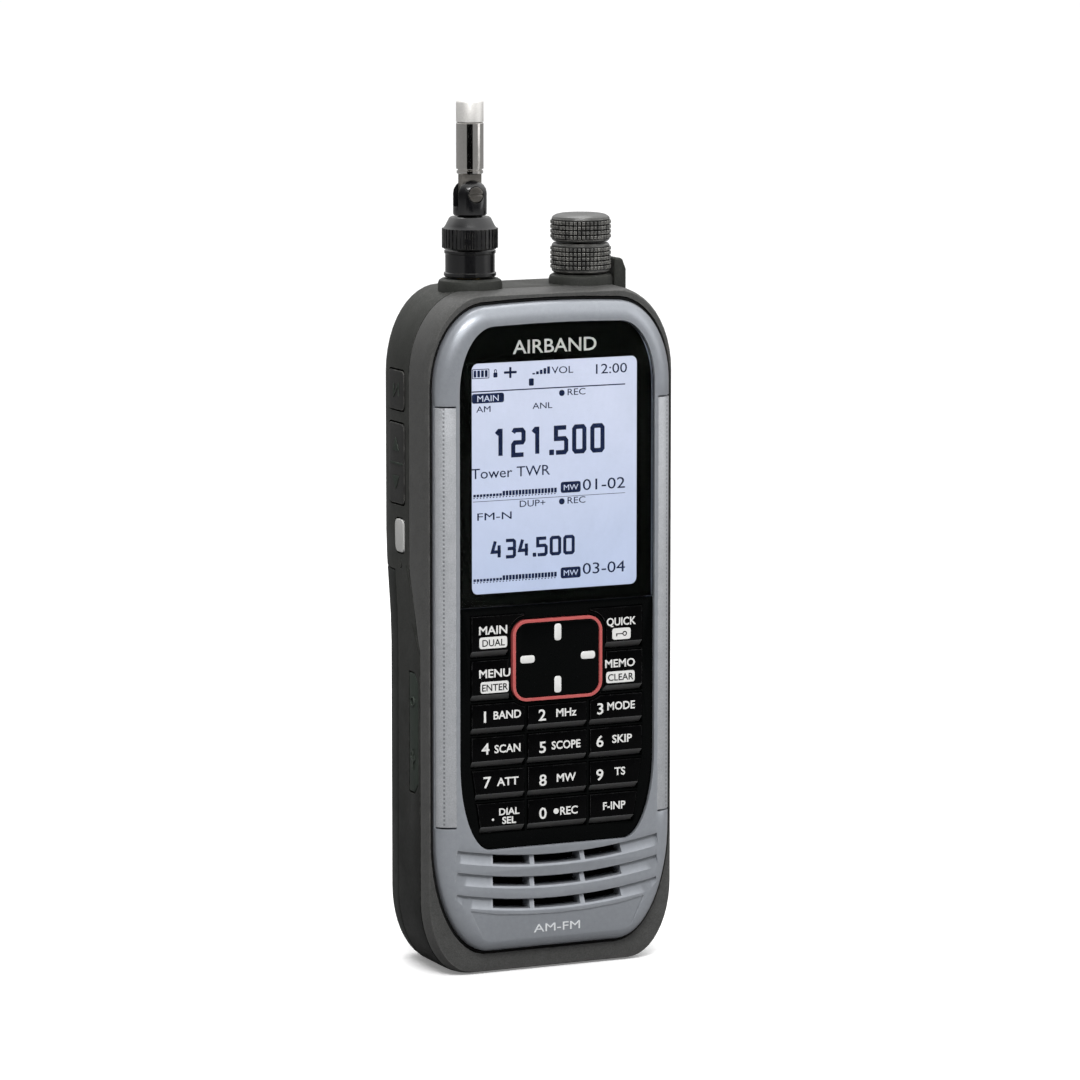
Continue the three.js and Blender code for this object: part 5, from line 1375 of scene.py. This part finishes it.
# ---------------------------------------------------------------- antenna
def barrel():
    low, high, r = barrel_low.z, barrel_high.z, barrel_high.x - ANTENNA_X
    piece = spun("antenna_base", ANTENNA_X, [
        (3.6, low), (r - 0.35, low), (r, low + 0.35), (r, low + 0.9), (r - 0.3, low + 1.05), (r - 0.3, high - 0.7),
        (r - 0.1, high - 0.5), (r - 0.1, high), (3.6, high), (3.6, low),
    ], 72)
    return finish(piece, "case", antenna_black, ["antenna_barrel"])


def collar():
    """Grip ring: straight ribs round it, and a polished cone above."""
    low, high, r = collar_low.z, collar_high.z, collar_high.x - ANTENNA_X
    grip = high - 2.1
    ribs = 36
    piece = spun("antenna_grip", ANTENNA_X, [
        (2.7, low), (r - 0.5, low), (r - 0.25, low + 0.3), (r - 0.25, grip - 0.3), (r - 0.5, grip), (r - 0.75, grip + 0.35),
        (4.35, high - 0.25), (4.0, high), (2.7, high), (2.7, low),
    ], ribs * 2)

    def rib_face(centre, normal):
        angle = math.degrees(math.atan2(centre.y, centre.x - ANTENNA_X)) % (360 / ribs)
        return low + 0.3 < centre.z < grip - 0.3 and abs(normal.z) < 0.1 and angle < 180 / ribs and \
            math.hypot(centre.x - ANTENNA_X, centre.y) > r - 1

    choose_faces(piece, rib_face)
    bpy.ops.mesh.extrude_faces_move(
        MESH_OT_extrude_faces_indiv={}, TRANSFORM_OT_shrink_fatten={"value": 0.24 * MM}
    )
    leave()
    weld(piece)
    return finish(piece, "case", antenna_black, ["antenna_collar"], 28)


def swivel():
    """Domed clevis with a slot for the tongue and seats for the hinge screw."""
    low, high, r = swivel_low.z, swivel_high.z, swivel_high.x - ANTENNA_X
    base = collar_high.z + GAP
    dome = [(r * math.cos(math.radians(a)), high - 2.9 + 2.9 * math.sin(math.radians(a))) for a in (0, 18, 36, 52, 66, 78, 90)]
    dome[-1] = (0, high)
    piece = spun("antenna_swivel_head", ANTENNA_X, [
        (0, low), (3.2, low), (3.2, low + 1.4), (2.4, low + 1.4), (2.4, base), (r - 0.25, base), (r, base + 0.25),
    ] + dome, 64)
    pin_z = (pin_low.z + pin_high.z) / 2
    slot = block("tongue_slot", (ANTENNA_X - 6, -1.3, pin_z - 2.5), (ANTENNA_X + 6, 1.3, high + 2))
    cut(piece, slot)
    for front, back in ((-6, -2.55), (2.55, 6)):
        cut(piece, rod_y("screw_seat", ANTENNA_X, pin_z, 1.75, front, back))
    cut(piece, rod_y("pin_bore", ANTENNA_X, pin_z, 1.0, -6, 6))
    soften(piece, 0.14, 2, 40)
    return finish(piece, "clevis", antenna_black, ["antenna_swivel"])


def hinge_screw():
    """Screw through the clevis: two slotted heads on one shank."""
    z = (pin_low.z + pin_high.z) / 2
    screw = rod_y("hinge_screw", ANTENNA_X, z, 0.8, pin_low.y, pin_high.y)
    for front, back in ((pin_low.y, -2.6), (2.6, pin_high.y)):
        combine(screw, rod_y("screw_head", ANTENNA_X, z, 1.6, front, back), "UNION")
    for front, back in ((pin_low.y - 1, pin_low.y + 0.3), (pin_high.y - 0.3, pin_high.y + 1)):
        cut(screw, block("driver_slot", (ANTENNA_X - 2, front, z - 0.2), (ANTENNA_X + 2, back, z + 0.2)))
    soften(screw, 0.08, 2, 40)
    return finish(screw, "clevis", pin_steel, ["knuckle_pin"])


def rod_pieces():
    """Polished outer tube on the flat tongue that hinges in the clevis."""
    r = rod_high.x - ANTENNA_X
    pin_z = (pin_low.z + pin_high.z) / 2
    foot = pin_z + 4.1
    top = rod_high.z
    tube = spun("rod_tube", ANTENNA_X, [
        (0, foot), (r - 0.5, foot), (r - 0.1, foot + 0.25), (r - 0.1, foot + 0.75), (r - 0.4, foot + 0.85), (r - 0.4, foot + 1.05),
        (r, foot + 1.15), (r, top - 0.15), (r - 0.15, top), (r - 0.35, top), (r - 0.35, foot + 0.6), (0, foot + 0.6),
    ], 96)
    finish(tube, "rod", rod_chrome, ["rod_outer"])
    tongue = block("rod_tongue", (ANTENNA_X - 2.2, -1, pin_z), (ANTENNA_X + 2.2, 1, foot + 0.05))
    combine(tongue, rod_y("tongue_eye", ANTENNA_X, pin_z, 2.2, -1, 1, 48), "UNION")
    cut(tongue, rod_y("pin_bore", ANTENNA_X, pin_z, 1.0, -3, 3))
    soften(tongue, 0.12, 2, 40)
    finish(tongue, "rod", tongue_grey)
    low, high = tip_low.z, tip_high.z
    cap = spun("rod_cap", ANTENNA_X, [
        (0, low), (r - 0.1, low), (r, low + 0.1), (r, high - 0.5), (r - 0.12, high - 0.22), (r - 0.4, high), (r - 1.3, high),
        (r - 1.5, high - 0.12), (0, high - 0.12),
    ], 72)
    finish(cap, "rod_tip", tip_satin, ["antenna_tip"])


barrel()
collar()
swivel()
hinge_screw()
rod_pieces()


# ---------------------------------------------------------------- rotary controls
def gripped_knob(name, profile, groove_radius, rows, body, node_name):
    """A spun knob whose wall carries rows of small raised squares."""
    across = 44
    piece = spun(name, KNOB_X, profile, across)
    low, high = rows

    def wall(centre, normal):
        return low < centre.z < high and abs(normal.z) < 0.1 and math.hypot(centre.x - KNOB_X, centre.y) > 5

    choose_faces(piece, wall)
    bpy.ops.mesh.inset(thickness=0.15 * MM, use_individual=True)
    bpy.ops.mesh.extrude_faces_move(
        MESH_OT_extrude_faces_indiv={}, TRANSFORM_OT_shrink_fatten={"value": 0.24 * MM}
    )
    bpy.ops.mesh.inset(thickness=0.1 * MM, depth=0.07 * MM, use_individual=True)
    leave()
    finish(piece, body, [knob_grey, knob_groove_painted_shade], [node_name], 28)

    def between_squares(centre, normal):
        return wall(centre, normal) and math.hypot(centre.x - KNOB_X, centre.y) < groove_radius + 0.03

    # the grooves between the squares take the painted shade
    choose_faces(piece, between_squares)
    piece.active_material_index = 1
    bpy.ops.object.material_slot_assign()
    leave()


def wall_rows(radius, low, high, count):
    return [(radius, low + (high - low) * i / count) for i in range(count + 1)]


def knobs():
    low, high = dial_low.z, dial_high.z
    rim = dial_high.x - KNOB_X
    wall = rim - 0.34
    gripped_knob("tuning_dial", [(3.0, low), (wall - 0.4, low), (wall, low + 0.35)]
                 + wall_rows(wall, low + 0.75, high - 0.7, 5)
                 + [(wall - 0.05, high - 0.35), (wall - 0.35, high - 0.05), (wall - 0.6, high), (3.0, high), (3.0, low)],
                 wall, (low + 0.75, high - 0.7), "dial", "dial_knob")
    low, high = volume_low.z, volume_high.z
    gripped_knob("volume_control", [(1.7, low), (wall - 0.6, low), (wall - 0.3, low + 0.1), (wall, low + 0.4)]
                 + wall_rows(wall, low + 0.6, high - 1.25, 4)
                 + [(wall + 0.05, high - 1.05), (wall - 0.2, high - 0.62), (wall - 0.8, high - 0.25), (wall - 1.6, high - 0.06),
                    (wall - 2.6, high), (wall - 4.2, high - 0.08), (0, high - 0.1), (0, high - 2), (1.7, high - 2), (1.7, low)],
                 wall, (low + 0.6, high - 1.25), "volume", "volume_knob")


knobs()


# ---------------------------------------------------------------- battery pack, latch and screws
def battery_case():
    pack = copy_of(whole_form, "battery_case")
    combine(pack, block("pack_room", (-FAR, PACK_FRONT, -FAR), (FAR, FAR, PACK_TOP)), "INTERSECT")
    soften(pack, 0.3, 3)
    low, high = latch_low, latch_high
    cut(pack, block("latch_seat", (low.x - 0.2, low.y - 0.2, low.z - 2.7), (high.x + 0.2, BACK + 1, high.z + 0.2)))
    label = solid("label_recess", "Y", [rounded(-17, 22, 17, 62, 2.5)], BACK - 0.3, BACK + 2)
    cut(pack, label)
    for i in range(5):
        z = 9 + i * 2.2
        cut(pack, solid("grip_groove", "Y", [rounded(-12, z - 0.5, 12, z + 0.5, 0.45, 4)], BACK - 0.6, BACK + 2))
    core = case_form("pack_core", 1.5)
    combine(core, block("core_room", (-FAR, PACK_FRONT, -FAR), (FAR, FAR, PACK_TOP - 1.5)), "INTERSECT")
    cut(core, block("latch_wall", (low.x - 1.5, low.y - 1.7, low.z - 4.2), (high.x + 1.5, BACK + 1, high.z + 1.7)))
    cut(pack, core, block("contact_window", (-7.3, PACK_FRONT - 1, 3.7), (7.3, PACK_FRONT + 2, 9.3)))
    return finish(pack, "battery", pack_black, ["battery_shell"])


def latch_piece():
    latch = traced("battery_latch", "latch_slider", 0.14, 2, 40)
    return finish(latch, "latch", latch_grey, ["battery_latch"])


def screws():
    for number in (1, 2, 3, 4):
        name = f"case_screw_{number}"
        screw = traced(name, f"long_screw_{number}", 0.1, 2, 40)
        finish(screw, "case", screw_black, [name])


battery_case()
latch_piece()
screws()
bpy.data.objects.remove(whole_form)


# ---------------------------------------------------------------- frame nodes that keep their shape
for node_name, material in (
    ("display_module", backlit_screen), ("key_mat", inner_black), ("dpad_base", inner_black), ("jack_block", inner_black),
    ("antenna_socket", contact_gold), ("rod_middle", rod_chrome), ("rod_inner", rod_chrome), ("dial_shaft", pin_steel),
    ("volume_shaft", pin_steel), ("encoder_body", inner_black), ("main_board", board_green), ("speaker", speaker_steel),
    ("battery_lid", pack_black), ("battery_cell", cell_wrap), ("contact_block", contact_gold),
):
    carry_over(node_name, material)


# ---------------------------------------------------------------- floor, light and camera
def floor():
    bpy.ops.mesh.primitive_plane_add(size=60, location=(0, 0, cad_low.z))
    ground = bpy.context.active_object
    ground.name = "studio_floor"
    material, tree, shader = surface("studio_paper")
    grain = use_group(tree, MOULDED_GRAIN, Size_mm=1.5, Pebble=0.2)
    paper = blend_colours(tree, grain["Tone"], shade("f6f6f6"), shade("fafafa"))
    seen = node(tree, "ShaderNodeLightPath").outputs["Is Camera Ray"]
    tree.links.new(blend_colours(tree, seen, shade("8c8c8c"), paper), shader.inputs["Base Color"])
    shader.inputs["Roughness"].default_value = 0.75
    shader.inputs["Specular IOR Level"].default_value = 0.2
    shader.inputs["Emission Color"].default_value = (1, 1, 1, 1)
    tree.links.new(calc(tree, "MULTIPLY", seen, 0.2), shader.inputs["Emission Strength"])
    ground.data.materials.append(material)


def studio_world():
    """White surroundings, dimmer low down, in front and on the left, so that dark faces stay dark."""
    world = bpy.data.worlds.new("studio")
    bpy.context.scene.world = world
    world.use_nodes = True
    tree = world.node_tree
    tree.nodes.clear()
    way = node(tree, "ShaderNodeTexCoord").outputs["Generated"]
    strength = 1.0
    for side, start, end, high, low in (
        ((0, 0, -1), -0.6, -0.05, 1.2, 0.3), ((0.2, -0.98, 0), 0.75, 0.93, 1, 0.25), ((-0.94, -0.34, 0), 0.2, 0.8, 1, 0.15),
    ):
        towards = node(tree, "ShaderNodeVectorMath", {0: way, 1: side}, operation="DOT_PRODUCT").outputs["Value"]
        strength = calc(tree, "MULTIPLY", ramp(tree, towards, start, end, high, low), strength)
    seen = node(tree, "ShaderNodeLightPath").outputs["Is Camera Ray"]
    strength = calc(tree, "MAXIMUM", seen, strength)
    background = node(tree, "ShaderNodeBackground", {"Color": (1, 1, 1, 1), "Strength": strength})
    node(tree, "ShaderNodeOutputWorld", {"Surface": background.outputs[0]})


def softbox(name, place, size, power, target):
    """An area light at a place in metres, turned towards a target."""
    lamp = bpy.data.lights.new(name, "AREA")
    lamp.shape = "RECTANGLE"
    lamp.size, lamp.size_y = size
    lamp.energy = power
    light = bpy.data.objects.new(name, lamp)
    bpy.context.scene.collection.objects.link(light)
    light.location = place
    light.rotation_euler = (Vector(target) - Vector(place)).to_track_quat("-Z", "Y").to_euler()


def camera():
    centre = (cad_low + cad_high) / 2
    aim = centre + Vector((3.82, 0.65, -2.07)) * MM
    turn, lift, distance = math.radians(-26), math.radians(7.8), 1.26
    away = Vector((math.sin(turn) * math.cos(lift), -math.cos(turn) * math.cos(lift), math.sin(lift)))
    lens = bpy.data.cameras.new("camera")
    lens.lens = 200
    lens.sensor_width = 36
    lens.clip_end = 200
    seat = bpy.data.objects.new("camera", lens)
    bpy.context.scene.collection.objects.link(seat)
    seat.location = aim + away * distance
    seat.rotation_euler = away.to_track_quat("Z", "Y").to_euler()
    bpy.context.scene.camera = seat


def flag(name, turn, reach, width, height):
    """A black card that only gloss reflects, standing out in front."""
    bpy.ops.mesh.primitive_plane_add(size=1, rotation=(math.pi / 2, 0, math.radians(turn)))
    card = bpy.context.active_object
    card.name = name
    angle = math.radians(turn)
    card.location = (math.sin(angle) * reach, -math.cos(angle) * reach, height / 2)
    card.scale = (width, height, 1)
    settle(card)
    material, tree, shader = surface("flag_black")
    weave = use_group(tree, MOULDED_GRAIN, Size_mm=2.0, Pebble=0.3)
    tree.links.new(blend_colours(tree, weave["Tone"], shade("050505"), shade("0d0d0d")), shader.inputs["Base Color"])
    shader.inputs["Roughness"].default_value = 1.0
    shader.inputs["Specular IOR Level"].default_value = 0.0
    card.data.materials.append(material)
    card.visible_camera = False
    card.visible_diffuse = False
    card.visible_shadow = False
    card.visible_transmission = False


floor()
studio_world()
flag("front_flag", -26, 0.8, 0.75, 0.9)
middle = (cad_low + cad_high) / 2
softbox("key_light", (-0.4, -0.8, 0.95), (0.6, 0.4), 13, middle)
softbox("fill_light", (1.1, -0.7, 0.5), (0.6, 0.9), 2.2, middle)
softbox("top_light", (0.1, 0.5, 1.2), (0.8, 0.5), 4, middle)
camera()
bpy.context.scene.view_settings.view_transform = "Standard"
